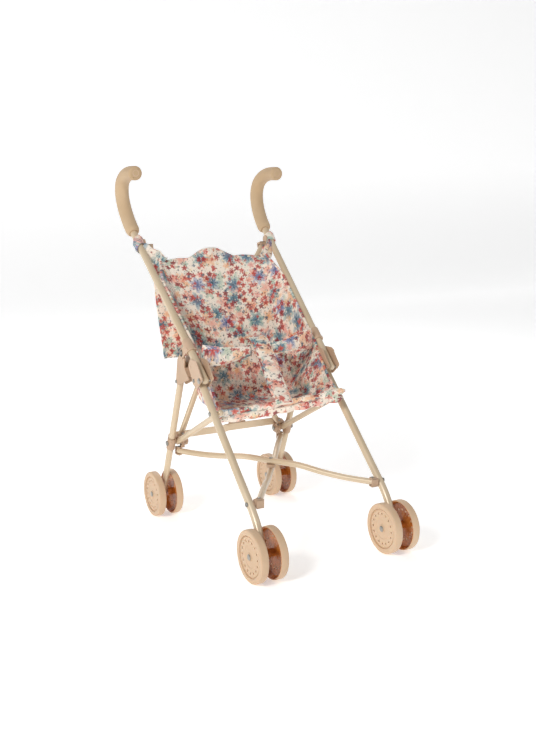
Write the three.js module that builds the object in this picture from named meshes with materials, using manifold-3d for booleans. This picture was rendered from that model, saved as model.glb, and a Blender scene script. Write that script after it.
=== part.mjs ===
import * as THREE from 'three';
import { mergeVertices } from 'three/addons/utils/BufferGeometryUtils.js';
import Module from 'manifold-3d';

const wasm = await Module();
wasm.setup();

// Sizes in millimetres. Side profile points are [y, z], the front is at -Y.
const TRACK = 210.8;      // leg centre to leg centre
const LEG_R = 5.5;        // front legs and handle tubes
const REAR_R = 5;         // rear legs
const BAR_R = 4.5;        // cross tubes and side links
const WHEEL_R = 36;
const WHEEL_IN = 8.8;     // leg centre to the inner edge of a wheel
const WHEEL_OUT = 20.5;   // leg centre to the outer face of a wheel
const AXLE_R = 2;
const GRIP_R = 11;
const SPLAY = 0.0622;     // handle tubes lean outwards
const PLATE = 1.8;        // moulded bracket plates
const PIN_R = 1.5;        // pins of the cross tubes and of the brace
const BOLT_R = 2.5;       // rear bolts and both pivot pins
const RIVET_R = 1.8;
const HEAD_R = 3.6;       // rivet heads
const GAP = 0.3;          // running clearance of a hole
const FIT = 0.4;          // clearance of foam, sleeves and washers
const SPACER = 5.2;       // disc between the lower cross tubes
const DROP = 15;          // lower cross pins below the rear bolt
const ARM = 12;           // upper cross pins from their bolts
const RISE = 149.33;      // from the upper cross pins up to the crossing
const BOLT_DOWN = 148.138;  // from the top of the rear leg down to its bolt
const BOLT_AHEAD = 0.484;   // the bolt sits a little ahead of the leg's axis
const BRACE = 1.4;        // thickness of a brace arm
const SEAT_IN = 20;       // leg centre to the side of the seat
const CENTRE_Y = -77.4;   // brings the overall box to the middle

const X = TRACK / 2;
const FRONT_PIVOT = [40, 245.3];
const REAR_PIVOT = [101, 279.3];
const LINK_FRONT = [18.6, 200.6];
const FRONT_BOLT = [-88, 96];
const TOP = [247.68, 437.49];
const FRONT_AXLE = [-120, WHEEL_R];
const REAR_AXLE = [219, WHEEL_R];
const REAR_TOP = [116, 262];
const LEG_TOP = [65 + 1.36 * (LEG_R - 5.5), 250.1 - 1.47 * (LEG_R - 5.5)];
const FRONT_LEG = [LEG_TOP, [20, 204.4], [-60, 123.1], [-89, 93.8], [-103, 77.5],
  [-113.5, WHEEL_R + 24], [-118.3, WHEEL_R + 10], FRONT_AXLE];
const HANDLE = [[38, 243.8], [90, 291.9], [160, 356.5], [235, 425.7], [262, 450.5], [282, 472],
  [295, 494], [299.5, 515], [293, 532], [276, 542], [255, 545.5], [229, 544.5]];
const FRONT_PLATE = [[70.6, 273.6], [76.9, 262.6], [66, 246.4], [63.2, 238], [49.7, 232.7],
  [29.7, 248.5], [37.4, 257.5], [49.7, 273.2]];
const REAR_PLATE = [[121.8, 267.6], [131.1, 231.4], [123.9, 227.1], [82, 241.4], [98, 257.5],
  [94.7, 277.5], [106.5, 283], [114, 274]];
const LUG = [[88.9, 292.3], [108.5, 279.8], [100.3, 268.8], [76.9, 286.3]];

const ENAMEL = { color: 0xd9c5a6, roughness: 0.35, metalness: 0.1 };
const MOULDED = { color: 0xd9bb9a, roughness: 0.5, metalness: 0 };
const WHEEL = { color: 0xe3c3a0, roughness: 0.5, metalness: 0 };
const FOAM = { color: 0xcbb08c, roughness: 0.9, metalness: 0 };
const STEEL = { color: 0x9a9a98, roughness: 0.35, metalness: 1 };
const CLOTH = { color: 0xf3e3cf, roughness: 0.9, metalness: 0 };

const stroller = new THREE.Group();
stroller.name = 'doll_stroller';
stroller.position.y = CENTRE_Y;

const vec = (x, p) => new THREE.Vector3(x, p[0], p[1]);
const along = (a, b) => Math.atan2(b[1] - a[1], b[0] - a[0]);
const unit = (t) => [Math.cos(t), Math.sin(t)];
const move = (p, d, k) => [p[0] + d[0] * k, p[1] + d[1] * k];
const span = (a, b) => Math.hypot(b[0] - a[0], b[1] - a[1]);
const handleX = (z) => X + 0.6 + SPLAY * (z - 245);
const legDown = unit(along(REAR_TOP, REAR_AXLE));
const legUp = [-legDown[0], -legDown[1]];
const legBack = [legUp[1], -legUp[0]];
const BOLT = move(move(REAR_TOP, legDown, BOLT_DOWN), legBack, -BOLT_AHEAD);
const REAR_RIVET = move(REAR_TOP, legDown, 33);

// places across the stroller, from the leg centre inwards and outwards
const OFFSET = BAR_R + GAP;                     // rear cross tubes off their common plane
const BOW = BAR_R + SPACER / 2 + FIT;           // lower cross tubes bow apart where they meet
const LUG_BACK = 2 * OFFSET + 0.6 * ARM + 1.8;  // back face of the brace lug, clear of the cross
const LINK_X = X - Math.max(LEG_R + 1, REAR_R + 1.5) - BAR_R;
const LOW_HUB = [LINK_X - BAR_R - FIT - 5.2, LINK_X - BAR_R - FIT];
const UP_HUB = [LOW_HUB[0] - 5.3, LOW_HUB[0] - 0.2];
const FRONT_HUB = [X - LEG_R - 3.2, X - LEG_R - 1.6];
const FRONT_OUT = X + LEG_R + 2.9;              // near face of the outer front plate
const FRONT_IN = X - LEG_R - 1.5;               // near face of the inner front plate
const REAR_OUT = X + REAR_R + 0.9;
const REAR_IN = X - REAR_R;
const LUG_OUT = REAR_OUT + PLATE + 0.5;

// a closed three.js geometry becomes a solid for the boolean steps
function solid(geometry) {
  const bare = geometry.clone();
  bare.deleteAttribute('normal');
  bare.deleteAttribute('uv');
  const merged = mergeVertices(bare, 1e-4);
  const index = merged.index.array;
  const triangles = [];
  for (let i = 0; i < index.length; i += 3) {
    const [a, b, c] = [index[i], index[i + 1], index[i + 2]];
    if (a !== b && b !== c && a !== c) triangles.push(a, b, c);
  }
  const vertProperties = new Float32Array(merged.attributes.position.array);
  const build = (list) => new wasm.Manifold(
    new wasm.Mesh({ numProp: 3, vertProperties, triVerts: new Uint32Array(list) }));
  const first = build(triangles);
  if (first.volume() > 0) return first;
  return build(triangles.reverse());
}

const join = (...list) => list.reduce((sum, item) => sum.add(item));

function rod(from, to, radius, sides = 10) {
  const axis = to.clone().sub(from);
  const geometry = new THREE.CylinderGeometry(radius, radius, axis.length(), sides);
  const turn = new THREE.Quaternion().setFromUnitVectors(
    new THREE.Vector3(0, 1, 0), axis.clone().normalize());
  geometry.applyQuaternion(turn);
  geometry.translate(...from.clone().add(to).multiplyScalar(0.5).toArray());
  return solid(geometry);
}

const cross = (p, radius, x0, x1, sides = 10) => rod(vec(x0, p), vec(x1, p), radius, sides);

function ball(centre, radius) {
  const geometry = new THREE.SphereGeometry(radius, 8, 5);
  geometry.translate(...centre.toArray());
  return solid(geometry);
}

function ring(radius, sides) {
  const points = [];
  for (let i = 0; i < sides; i += 1) {
    const t = (2 * Math.PI * i) / sides;
    points.push(new THREE.Vector2(radius * Math.cos(t), radius * Math.sin(t)));
  }
  return points;
}

function sweep(points, radius, sides, steps) {
  const path = new THREE.CatmullRomCurve3(points, false, 'centripetal');
  const shape = new THREE.Shape(ring(radius, sides));
  return solid(new THREE.ExtrudeGeometry(shape, { steps, bevelEnabled: false, extrudePath: path }));
}

// a flat outline in the side view, extruded across the stroller
function plate(outline, x0, x1) {
  const shape = new THREE.Shape(outline.map((p) => new THREE.Vector2(p[0], p[1])));
  const low = Math.min(x0, x1);
  const geometry = new THREE.ExtrudeGeometry(shape,
    { depth: Math.abs(x1 - x0), bevelEnabled: false });
  const frame = new THREE.Matrix4().makeBasis(new THREE.Vector3(0, 1, 0),
    new THREE.Vector3(0, 0, 1), new THREE.Vector3(1, 0, 0)).setPosition(low, 0, 0);
  geometry.applyMatrix4(frame);
  return solid(geometry);
}

function strip(from, to, low, high, x0, x1) {
  const d = unit(along(from, to));
  const side = [-d[1], d[0]];
  return plate([move(from, side, low), move(to, side, low), move(to, side, high),
    move(from, side, high)], x0, x1);
}

// a block given in a tilted frame: x across, y and z along the two directions
function block(origin, ey, ez, x0, x1, y0, y1, z0, z1) {
  const corner = (a, b) => move(move(origin, ey, a), ez, b);
  return plate([corner(y0, z0), corner(y1, z0), corner(y1, z1), corner(y0, z1)], x0, x1);
}

function part(name, body, look) {
  const mesh = body.getMesh();
  const geometry = new THREE.BufferGeometry();
  geometry.setAttribute('position', new THREE.BufferAttribute(mesh.vertProperties, 3));
  geometry.setIndex(new THREE.BufferAttribute(mesh.triVerts, 1));
  geometry.computeVertexNormals();
  const item = new THREE.Mesh(geometry, new THREE.MeshStandardMaterial(look));
  item.name = name;
  stroller.add(item);
}

// directions in the side view for the two crosses
const reach = span(BOLT, FRONT_BOLT);
const lowerAngle = along(BOLT, FRONT_BOLT) - Math.asin(DROP / reach);
const forward = unit(lowerAngle);
const rearward = unit(lowerAngle + Math.PI);
const lift = unit(lowerAngle - Math.PI / 2);
const upAngle = along(BOLT, TOP);
const up = unit(upAngle);
const back = unit(upAngle - Math.PI / 2);

const PIN_X = LOW_HUB[1] + 2.5;
const UPPER_X = UP_HUB[1] + 0.9;
const TOP_X = handleX(TOP[1] - ARM) - LEG_R - BAR_R - 4.254;
const EAR = [BAR_R + GAP, BAR_R + 1.7];
const WEB = BAR_R + FIT;
const rearPin = move(BOLT, lift, -DROP);
const lowPin = move(BOLT, up, ARM);
const topPin = move(TOP, up, -ARM);

// pin along a direction of the side view, with a head at each end
function pin(x, p, d, half) {
  const end = (k) => vec(x, move(p, d, k));
  return join(rod(end(-half), end(half), PIN_R, 6), rod(end(-half), end(-half + 1), 2.2, 8),
    rod(end(half - 1), end(half), 2.2, 8));
}

function wheel(name, s, inner, p) {
  const edge = WHEEL_R - 1.6;
  const boss = LEG_R + 0.8;
  const outline = [[AXLE_R + GAP, boss], [5.2, boss], [5.6, WHEEL_OUT - 3.5],
    [WHEEL_R - 4.5, WHEEL_OUT - 3.5], [edge - 1.2, WHEEL_IN + 0.8], [edge, WHEEL_IN],
    [WHEEL_R, WHEEL_IN + 1], [WHEEL_R, WHEEL_OUT - 1.1], [edge, WHEEL_OUT],
    [WHEEL_R - 7.5, WHEEL_OUT], [WHEEL_R - 9, WHEEL_OUT - 1.9], [5.5, WHEEL_OUT - 1.9],
    [5, WHEEL_OUT - 0.7], [AXLE_R + GAP, WHEEL_OUT - 0.7]];
  const loop = outline.concat([outline[0]]).map((q) => new THREE.Vector2(q[0], q[1]));
  const geometry = new THREE.LatheGeometry(loop, 20);
  const side = inner ? -s : s;
  geometry.rotateZ(side > 0 ? -Math.PI / 2 : Math.PI / 2);
  geometry.translate(s * X, p[0], p[1]);
  part(name, solid(geometry), WHEEL);
}

// clevis on the rear bolt or on a leg, holding a cross tube between two ears
function clevis(s, p, pinX, ey, ez, off, hubAt, hub, wall) {
  const x = s * pinX;
  const o = move(p, ey, off);
  const ears = [];
  for (const k of [-1, 1]) {
    const [near, far] = [EAR[0] * k, EAR[1] * k];
    ears.push(rod(vec(x, move(o, ey, near)), vec(x, move(o, ey, far)), BAR_R, 12));
    ears.push(block(o, ey, ez, s * wall[0], s * wall[1], Math.min(near, far),
      Math.max(near, far), Math.min(0, wall[2]), Math.max(0, wall[2])));
  }
  const web = block(o, ey, ez, s * wall[0], s * wall[1], -EAR[1], EAR[1],
    Math.min(wall[2], wall[3]), Math.max(wall[2], wall[3]));
  const round = cross(hubAt, 6.3, s * hub[0], s * hub[1], 16);
  const through = EAR[1] + 2.8;
  const hole = rod(vec(x, move(o, ey, -through)), vec(x, move(o, ey, through)), PIN_R + GAP, 8);
  return join(...ears, web, round).subtract(hole);
}

for (const s of [-1, 1]) {
  const side = s < 0 ? 'left' : 'right';
  const legX = s * X;
  const handlePoints = HANDLE.map((p) => vec(s * handleX(p[1]), p));
  handlePoints[0] = vec(s * handleX(FRONT_PIVOT[1]), FRONT_PIVOT);

  // handle tube with its foam grip; the front pivot pin is fixed in the tube
  const tubePoints = handlePoints.slice(0, -1);
  tubePoints.push(vec(s * handleX(545), [237, 544.9]));
  const pinIn = FRONT_IN - PLATE - FIT;
  const pinOut = FRONT_OUT + PLATE + FIT;
  const pivotPin = join(cross(FRONT_PIVOT, BOLT_R, s * (pinIn - 0.3), s * (pinOut + 1.4)),
    cross(FRONT_PIVOT, 4.4, s * (pinIn - 1.3), s * pinIn),
    cross(FRONT_PIVOT, 4.4, s * pinOut, s * (pinOut + 1.4)));
  part(`${side}_handle_tube`, join(sweep(tubePoints, LEG_R, 10, 20),
    ball(vec(s * handleX(245.3), FRONT_PIVOT), LEG_R), pivotPin), ENAMEL);
  const gripPoints = handlePoints.slice(4);
  gripPoints[0] = vec(s * handleX(453), [264.5, 453]);
  const tubeEnd = tubePoints[tubePoints.length - 1];
  const mouth = vec(s * handleX(544.2), [221, 543.9]);
  part(`${side}_grip`, sweep(gripPoints, GRIP_R, 14, 12)
    .subtract(sweep(tubePoints, LEG_R + FIT, 10, 20))
    .subtract(rod(tubeEnd, mouth, LEG_R + FIT, 10)), FOAM);
  const capX = s * handleX(544.6);
  part(`${side}_grip_cap`, rod(vec(capX, [229.5, 544.55]), vec(capX, [236, 544.75]), LEG_R - 0.2, 14),
    MOULDED);

  // moulded sleeve on the handle tube, its lug carries the rear pivot pin
  const foot = vec(s * handleX(282.1), [79.3, 282.05]);
  const head = vec(s * handleX(297), [95.5, 297.0]);
  const grow = head.clone().sub(foot).normalize();
  const rim = foot.clone().add(grow.clone().multiplyScalar(3.4));
  const lug = plate(LUG, s * LUG_OUT, s * (LUG_OUT + 2.2));
  const headIn = REAR_IN - PLATE - FIT;
  const hangPin = join(cross(REAR_PIVOT, BOLT_R, s * (headIn - 0.8), s * (LUG_OUT + 3.2)),
    cross(REAR_PIVOT, 4.2, s * (headIn - 1.8), s * headIn),
    cross(REAR_PIVOT, 6.2, s * LUG_OUT, s * (LUG_OUT + 2.2), 18));
  const clear = rod(foot.clone().addScaledVector(grow, -30), head.clone().addScaledVector(grow, 30),
    LEG_R + FIT, 12);
  part(`${side}_sleeve`, join(rod(foot, head, LEG_R + 1.8, 14), rod(foot, rim, LEG_R + 2.7, 14),
    lug, hangPin).subtract(clear), MOULDED);

  // front bracket, fixed to the front leg and turning on the front pivot pin
  const farOut = FRONT_OUT + PLATE;
  const farIn = FRONT_IN - PLATE;
  const tilt = along([38, 243.8], [235, 425.7]);
  const webFrom = move(FRONT_PIVOT, unit(tilt), 7);
  const webTo = move(FRONT_PIVOT, unit(tilt), 33.5);
  const frontRivet = [LEG_TOP[0] - 5.8, LEG_TOP[1] - 7.1];
  part(`${side}_front_bracket`, join(plate(FRONT_PLATE, s * FRONT_OUT, s * farOut),
    plate(FRONT_PLATE, s * farIn, s * FRONT_IN),
    strip(webFrom, webTo, -LEG_R - FIT - 1.5, -LEG_R - FIT, s * farIn, s * farOut),
    cross(frontRivet, RIVET_R, s * (farIn - 1), s * (farOut + 0.8)),
    cross(frontRivet, HEAD_R, s * (farIn - 1), s * (farIn + 0.2)),
    cross(frontRivet, HEAD_R, s * (farOut - 0.2), s * (farOut + 0.8))).subtract(
    cross(FRONT_PIVOT, BOLT_R + GAP, s * (farIn - 3.2), s * (farOut + 3.8))), MOULDED);

  // legs
  const frontLeg = join(sweep(FRONT_LEG.map((p) => vec(legX, p)), LEG_R, 10, 12),
    ball(vec(legX, FRONT_AXLE), LEG_R),
    cross(LINK_FRONT, HEAD_R, s * (X + LEG_R - 1.5), s * (X + LEG_R + 1.5)),
    cross(FRONT_BOLT, HEAD_R, s * (X + LEG_R - 1.5), s * (X + LEG_R + 1.5)));
  const past = LEG_R + 3.5;
  part(`${side}_front_leg`, frontLeg
    .subtract(cross(frontRivet, RIVET_R + GAP, s * (X - past), s * (X + past)))
    .subtract(cross(FRONT_AXLE, AXLE_R + GAP, s * (X - past), s * (X + past))), ENAMEL);
  const rearLeg = join(rod(vec(legX, REAR_TOP), vec(legX, REAR_AXLE), REAR_R, 10),
    ball(vec(legX, REAR_AXLE), REAR_R),
    cross(BOLT, BOLT_R, s * (UP_HUB[0] - 1.2), s * (X + REAR_R + 2.5)),
    cross(BOLT, 4, s * (UP_HUB[0] - 2.2), s * (UP_HUB[0] - FIT)),
    cross(BOLT, 4, s * (X + REAR_R + 2.3), s * (X + REAR_R + 3.8)));
  part(`${side}_rear_leg`, rearLeg
    .subtract(cross(REAR_RIVET, RIVET_R + GAP, s * (X - past), s * (X + past)))
    .subtract(cross(REAR_AXLE, AXLE_R + GAP, s * (X - past), s * (X + past))), ENAMEL);

  // rear bracket, fixed to the rear leg and hung on the rear pivot pin
  const rearOuter = [s * REAR_OUT, s * (REAR_OUT + PLATE)];
  const rearInner = [s * (REAR_IN - PLATE), s * REAR_IN];
  part(`${side}_rear_bracket`, join(plate(REAR_PLATE, ...rearOuter), plate(REAR_PLATE, ...rearInner),
    cross(REAR_PIVOT, 6.4, ...rearOuter, 18), cross(REAR_PIVOT, 6.4, ...rearInner, 18),
    strip([86.5, 245.6], [98, 257.3], -1.8, -0.1, rearInner[0], rearOuter[1]),
    cross(REAR_RIVET, RIVET_R, s * (REAR_IN - PLATE - 1), s * (REAR_OUT + PLATE + 1)),
    cross(REAR_RIVET, HEAD_R - 0.2, s * (REAR_IN - PLATE - 1), s * (REAR_IN - PLATE + 0.2)),
    cross(REAR_RIVET, HEAD_R - 0.2, s * (REAR_OUT + PLATE - 0.2), s * (REAR_OUT + PLATE + 1)))
    .subtract(cross(REAR_PIVOT, BOLT_R + GAP, s * (REAR_IN - 7), s * (REAR_OUT + 8))), MOULDED);

  // side link from the front leg to the rear bolt
  const linkMid = s * LINK_X;
  part(`${side}_side_link`, join(rod(vec(linkMid, LINK_FRONT), vec(linkMid, BOLT), BAR_R, 12),
    ball(vec(linkMid, LINK_FRONT), BAR_R), ball(vec(linkMid, BOLT), BAR_R)).subtract(
    cross(BOLT, BOLT_R + GAP, s * (LINK_X - 9), s * X)), ENAMEL);

  // axles with screw heads
  for (const [end, p] of [['front', FRONT_AXLE], ['rear', REAR_AXLE]]) {
    part(`${side}_${end}_axle`, join(cross(p, AXLE_R, s * (X - 21), s * (X + 21)),
      cross(p, 3.4, s * (X - 21.5), s * (X - 20.1)),
      cross(p, 3.4, s * (X + 20.1), s * (X + 21.5))), STEEL);
    wheel(`${side}_${end}_wheel_inner`, s, true, p);
    wheel(`${side}_${end}_wheel_outer`, s, false, p);
  }

  // moulded connector round the rear leg with the lug for the brace
  const ringFrom = vec(legX, move(BOLT, legUp, 9));
  const ringTo = vec(legX, move(BOLT, legUp, -11));
  const hinge = move(BOLT, legUp, -2);
  const hingeX = s * (LINK_X - 0.4);
  const headAt = LUG_BACK + FIT + 2 * (BRACE + FIT);
  const at = (k) => vec(hingeX, move(hinge, legBack, k));
  part(`${side}_rear_connector`, join(rod(ringFrom, ringTo, REAR_R + 1.6, 16),
    block(hinge, legBack, legUp, s * (LOW_HUB[1] + 1), s * (X - 2), 6, LUG_BACK, -6, 6),
    block(hinge, legBack, legUp, s * (X - 5), s * (X + 2), 3, 8, -6, 6),
    rod(at(15), at(headAt + 1.2), PIN_R, 12), rod(at(headAt), at(headAt + 1.2), 3.4, 12))
    .subtract(rod(vec(legX, REAR_TOP), vec(legX, REAR_AXLE), REAR_R + GAP, 14))
    .subtract(cross(BOLT, BOLT_R + GAP, s * (X - 30), s * (X + 12))), MOULDED);

  // folding brace behind the rear legs
  const low = s < 0 ? LUG_BACK + FIT : LUG_BACK + FIT + BRACE + FIT;
  const bar = (a, b, near, far, half) => block(hinge, legBack, legUp, a, b, near, far, -half, half);
  const slab = (x, r, near, far) => rod(vec(x, move(hinge, legBack, near)),
    vec(x, move(hinge, legBack, far)), r, 18);
  const top = low + BRACE;
  const arm = join(bar(Math.min(hingeX, 0), Math.max(hingeX, 0), low, top, 7),
    slab(hingeX, 7, low, top), slab(0, 7, low, top));
  const knuckle = s > 0 ? arm.add(slab(0, HEAD_R, top - 0.4, top + 1.2)) : arm;
  part(`${side}_brace_arm`, knuckle.subtract(rod(at(14), at(26), PIN_R + GAP, 12)), ENAMEL);
  if (s > 0) {
    part('brace_lock_housing', bar(5.5, 36, top + GAP, top + GAP + 2.5, 8.2), MOULDED);
  }

  // clevises of the two crosses
  const boltHole = cross(BOLT, BOLT_R + GAP, s * (UP_HUB[0] - 3.6), s * X);
  const lowerRear = clevis(s, rearPin, PIN_X, lift, rearward, 0, BOLT, LOW_HUB,
    [PIN_X - BAR_R, PIN_X + BAR_R, WEB + 1.7, WEB]);
  const neck = block(rearPin, lift, rearward, s * LOW_HUB[0], s * LOW_HUB[1], EAR[0], DROP - 4, -4, 4);
  const pocket = rod(vec(s * PIN_X, move(rearPin, lift, BAR_R - 0.5)),
    vec(s * PIN_X, move(rearPin, lift, EAR[1] + 2.2)), 2.2 + GAP, 12);
  part(`${side}_lower_rear_clevis`, lowerRear.add(neck).subtract(boltHole).subtract(pocket),
    MOULDED);
  const off = s < 0 ? OFFSET : -OFFSET;
  part(`${side}_upper_rear_clevis`, clevis(s, lowPin, UPPER_X, back, up, off, BOLT, UP_HUB,
    [UPPER_X - BAR_R, UPPER_X - 0.9, 3 - ARM, -WEB]).subtract(boltHole), MOULDED);
  part(`${side}_lower_front_clevis`, clevis(s, FRONT_BOLT, PIN_X, lift, forward, 0, FRONT_BOLT,
    FRONT_HUB, [PIN_X - BAR_R, FRONT_HUB[1], WEB + 1.7, WEB]), MOULDED);
  const topHub = [TOP_X + WEB, TOP_X + WEB + 2.7];
  part(`${side}_upper_top_clevis`, clevis(s, topPin, TOP_X, back, up, -off, TOP, topHub,
    [TOP_X - BAR_R, topHub[1], ARM - 4, WEB]), MOULDED);
}

// lower cross: tube one runs left rear to right front over tube two
const flat = span(rearPin, FRONT_BOLT);
for (const s of [-1, 1]) {
  const bow = s < 0 ? BOW : -BOW;
  const centre = move(rearPin, forward, flat / 2);
  const at = (k, h) => vec(s * PIN_X * (1 - 2 * k), move(move(rearPin, forward, flat * k), lift, h));
  const points = [at(0, 0), at(0.12, 0), at(0.24, bow * 0.35), at(0.36, bow), at(0.5, bow),
    at(0.64, bow), at(0.76, bow * 0.35), at(0.88, 0), at(1, 0)];
  const rivet = (k) => vec(0, move(centre, lift, bow + Math.sign(bow) * k));
  const head = rod(rivet(BAR_R - 0.75), rivet(BAR_R + 0.9), 3, 12);
  part(s < 0 ? 'lower_cross_tube_over' : 'lower_cross_tube_under',
    join(sweep(points, BAR_R, 8, 14), ball(at(0, 0), BAR_R), ball(at(1, 0), BAR_R),
      pin(s * PIN_X, rearPin, lift, EAR[1] + 1.4),
      pin(-s * PIN_X, FRONT_BOLT, lift, EAR[1] + 1.4), head), ENAMEL);
}
const heart = move(rearPin, forward, flat / 2);
part('lower_cross_pivot', rod(vec(0, move(heart, lift, -SPACER / 2)),
  vec(0, move(heart, lift, SPACER / 2)), 7, 20), MOULDED);

// rear cross behind the seat, its tubes either side of one plane
const meet = move(lowPin, up, RISE);
for (const s of [-1, 1]) {
  const off = s < 0 ? OFFSET : -OFFSET;
  const at = (x, p) => vec(x, move(p, back, off));
  const points = [at(s * UPPER_X, lowPin), at(0, meet), at(-s * TOP_X, topPin)];
  const rivet = (k) => vec(0, move(meet, back, off + Math.sign(off) * k));
  part(s < 0 ? 'rear_cross_tube_back' : 'rear_cross_tube_front',
    join(sweep(points, BAR_R, 8, 8), ball(points[0], BAR_R), ball(points[2], BAR_R),
      pin(s * UPPER_X, move(lowPin, back, off), back, EAR[1] + 1.1),
      pin(-s * TOP_X, move(topPin, back, off), back, EAR[1] + 1.1),
      rod(rivet(BAR_R - 1.62), rivet(BAR_R + 1.26), 3, 12)), ENAMEL);
}

// sewn seat: back, pan and side wings are one sling
const seatX = X - SEAT_IN;
const backPanel = plate([[118, 196], [127, 192], [226, 416], [217, 420]], -seatX, seatX);
const pan = plate([[9, 190], [126, 190], [124, 198], [9, 199]], -seatX, seatX);
const wings = [-1, 1].map((s) => plate([[14, 192], [30, 232], [218, 408], [122, 192]],
  s * (seatX - 5), s * seatX));
part('seat_sling', join(backPanel, pan, ...wings), CLOTH);
part('rear_pocket', plate([[221, 252], [229, 252], [263, 406], [255, 408]], -(X - 10), X - 10), CLOTH);
part('crotch_strap', plate([[79, 288], [73, 291], [-2, 209], [4, 205]], -12.5, 12.5), CLOTH);
for (const s of [-1, 1]) {
  const side = s < 0 ? 'left' : 'right';
  const from = new THREE.Vector3(s * (seatX - 6), 84, 276);
  const to = new THREE.Vector3(s * 15, 76, 274);
  const d = to.clone().sub(from).normalize();
  const frame = new THREE.Matrix4().makeBasis(d, new THREE.Vector3(-d.y, d.x, 0).normalize(),
    new THREE.Vector3(0, 0, 1)).setPosition(from.clone().add(to).multiplyScalar(0.5));
  const belt = new THREE.BoxGeometry(from.distanceTo(to), 5, 15);
  belt.applyMatrix4(frame);
  part(`lap_belt_${side}`, solid(belt), CLOTH);
}

export default stroller;
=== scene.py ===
"""Folding doll stroller: tube frame, moulded brackets, small wheels and a sewn printed-cotton seat."""
import math

import bmesh
import bpy
from mathutils import Matrix, Vector, noise


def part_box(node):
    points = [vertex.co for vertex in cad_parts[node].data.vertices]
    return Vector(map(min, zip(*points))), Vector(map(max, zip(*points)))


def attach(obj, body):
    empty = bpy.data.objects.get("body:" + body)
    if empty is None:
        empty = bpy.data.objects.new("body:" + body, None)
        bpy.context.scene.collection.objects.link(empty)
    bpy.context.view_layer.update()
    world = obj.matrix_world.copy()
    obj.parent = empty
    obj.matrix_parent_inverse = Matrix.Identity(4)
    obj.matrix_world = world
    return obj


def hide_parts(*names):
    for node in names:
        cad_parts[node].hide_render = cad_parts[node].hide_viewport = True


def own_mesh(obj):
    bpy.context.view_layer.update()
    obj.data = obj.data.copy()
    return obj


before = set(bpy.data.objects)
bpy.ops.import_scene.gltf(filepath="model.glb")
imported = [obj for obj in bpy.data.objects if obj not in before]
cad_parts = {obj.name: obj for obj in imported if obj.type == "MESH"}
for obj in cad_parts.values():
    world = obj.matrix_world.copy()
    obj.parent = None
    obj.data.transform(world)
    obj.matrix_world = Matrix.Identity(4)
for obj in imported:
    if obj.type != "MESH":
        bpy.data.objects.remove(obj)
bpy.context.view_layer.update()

bl_info = {
    "name": "Doll stroller",
    "version": (1, 0, 0),
    "blender": (4, 5, 0),
    "location": "3D Viewport > Sidebar > Doll stroller",
    "description": "Builds a folding doll stroller on its packed frame, piece by piece",
    "category": "Object",
}

# Side-view points are (y, z) in millimetres before the frame's own shift along Y.
SHIFT = -77.4
TRACK = 210.8
X = TRACK / 2
# Radii of the long side bolts, the rivets and the small clevis pins, in metres.
BOLT_R = 0.0025
RIVET_R = 0.0018
PIN_R = 0.0015
AXLE_R = 0.002
# Length of each rear cross tube from its lower pin to the crossing, in millimetres.
RISE = 149.33
FRONT_PIVOT = (40, 245.3)
REAR_PIVOT = (101, 279.3)
LINK_FRONT = (18.6, 200.6)
BOLT = (177, 127)
FRONT_BOLT = (-88, 96)
TOP = (247.68, 437.49)
FRONT_AXLE = (-120, 36)
REAR_AXLE = (219, 36)
REAR_TOP = (116, 262)
DROP = 15
ARM = 12
# Half the distance between crossing tubes, behind the back and under the seat.
OFFSET = 4.8
BOW = 7.5
FRONT_LEG = [(65, 250.1), (20, 204.4), (-60, 123.1), (-89, 93.8), (-103, 77.5), (-113.5, 60),
             (-118.3, 46), (-120, 36)]
HANDLE = [(90, 291.9), (160, 356.5), (235, 425.7), (262, 450.5), (282, 472),
          (295, 494), (299.5, 515), (293, 532), (276, 542), (255, 545.5), (229, 544.5)]
FRONT_PLATE = [(70.6, 273.6), (76.9, 262.6), (66, 246.4), (63.2, 238), (49.7, 232.7),
               (29.7, 248.5), (37.4, 257.5), (49.7, 273.2)]
REAR_PLATE = [(121.8, 267.6), (131.1, 231.4), (123.9, 227.1), (82, 241.4), (98, 257.5),
              (94.7, 277.5), (106.5, 283), (114, 274)]
LUG = [(88.9, 292.3), (108.5, 279.8), (100.3, 268.8), (76.9, 286.3)]
SIDES = ((-1, "left"), (1, "right"))
# Share of its own light that the studio paper gives.
PAPER_GLOW = 0.4


def handle_x(z):
    """Distance of the handle tube's axis from the middle at height z."""
    return X + 0.6 + 0.0622 * (z - 245)


def at(x, p, z=None):
    """A point in metres in the frame's own axes, from millimetres."""
    y, h = (p[0], p[1]) if z is None else (p, z)
    return Vector((x, y + SHIFT, h)) / 1000


def unit(angle):
    return (math.cos(angle), math.sin(angle))


def along(a, b):
    return math.atan2(b[1] - a[1], b[0] - a[0])


def move(p, d, k):
    return (p[0] + d[0] * k, p[1] + d[1] * k)


def lerp(a, b, t):
    return tuple(p + (q - p) * t for p, q in zip(a, b))


def smooth(t):
    t = min(1.0, max(0.0, t))
    return t * t * (3 - 2 * t)


LOWER = along(BOLT, FRONT_BOLT) - math.asin(DROP / math.dist(BOLT, FRONT_BOLT))
FORWARD = unit(LOWER)
REARWARD = unit(LOWER + math.pi)
LIFT = unit(LOWER - math.pi / 2)
UPWARD = unit(along(BOLT, TOP))
BACK = unit(along(BOLT, TOP) - math.pi / 2)
LEG_DOWN = unit(along(REAR_TOP, REAR_AXLE))
LEG_UP = (-LEG_DOWN[0], -LEG_DOWN[1])
LEG_BACK = (LEG_UP[1], -LEG_UP[0])
PIN_X = X - 13.4
UPPER_X = X - 20.4
TOP_X = handle_x(TOP[1]) - 15
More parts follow.
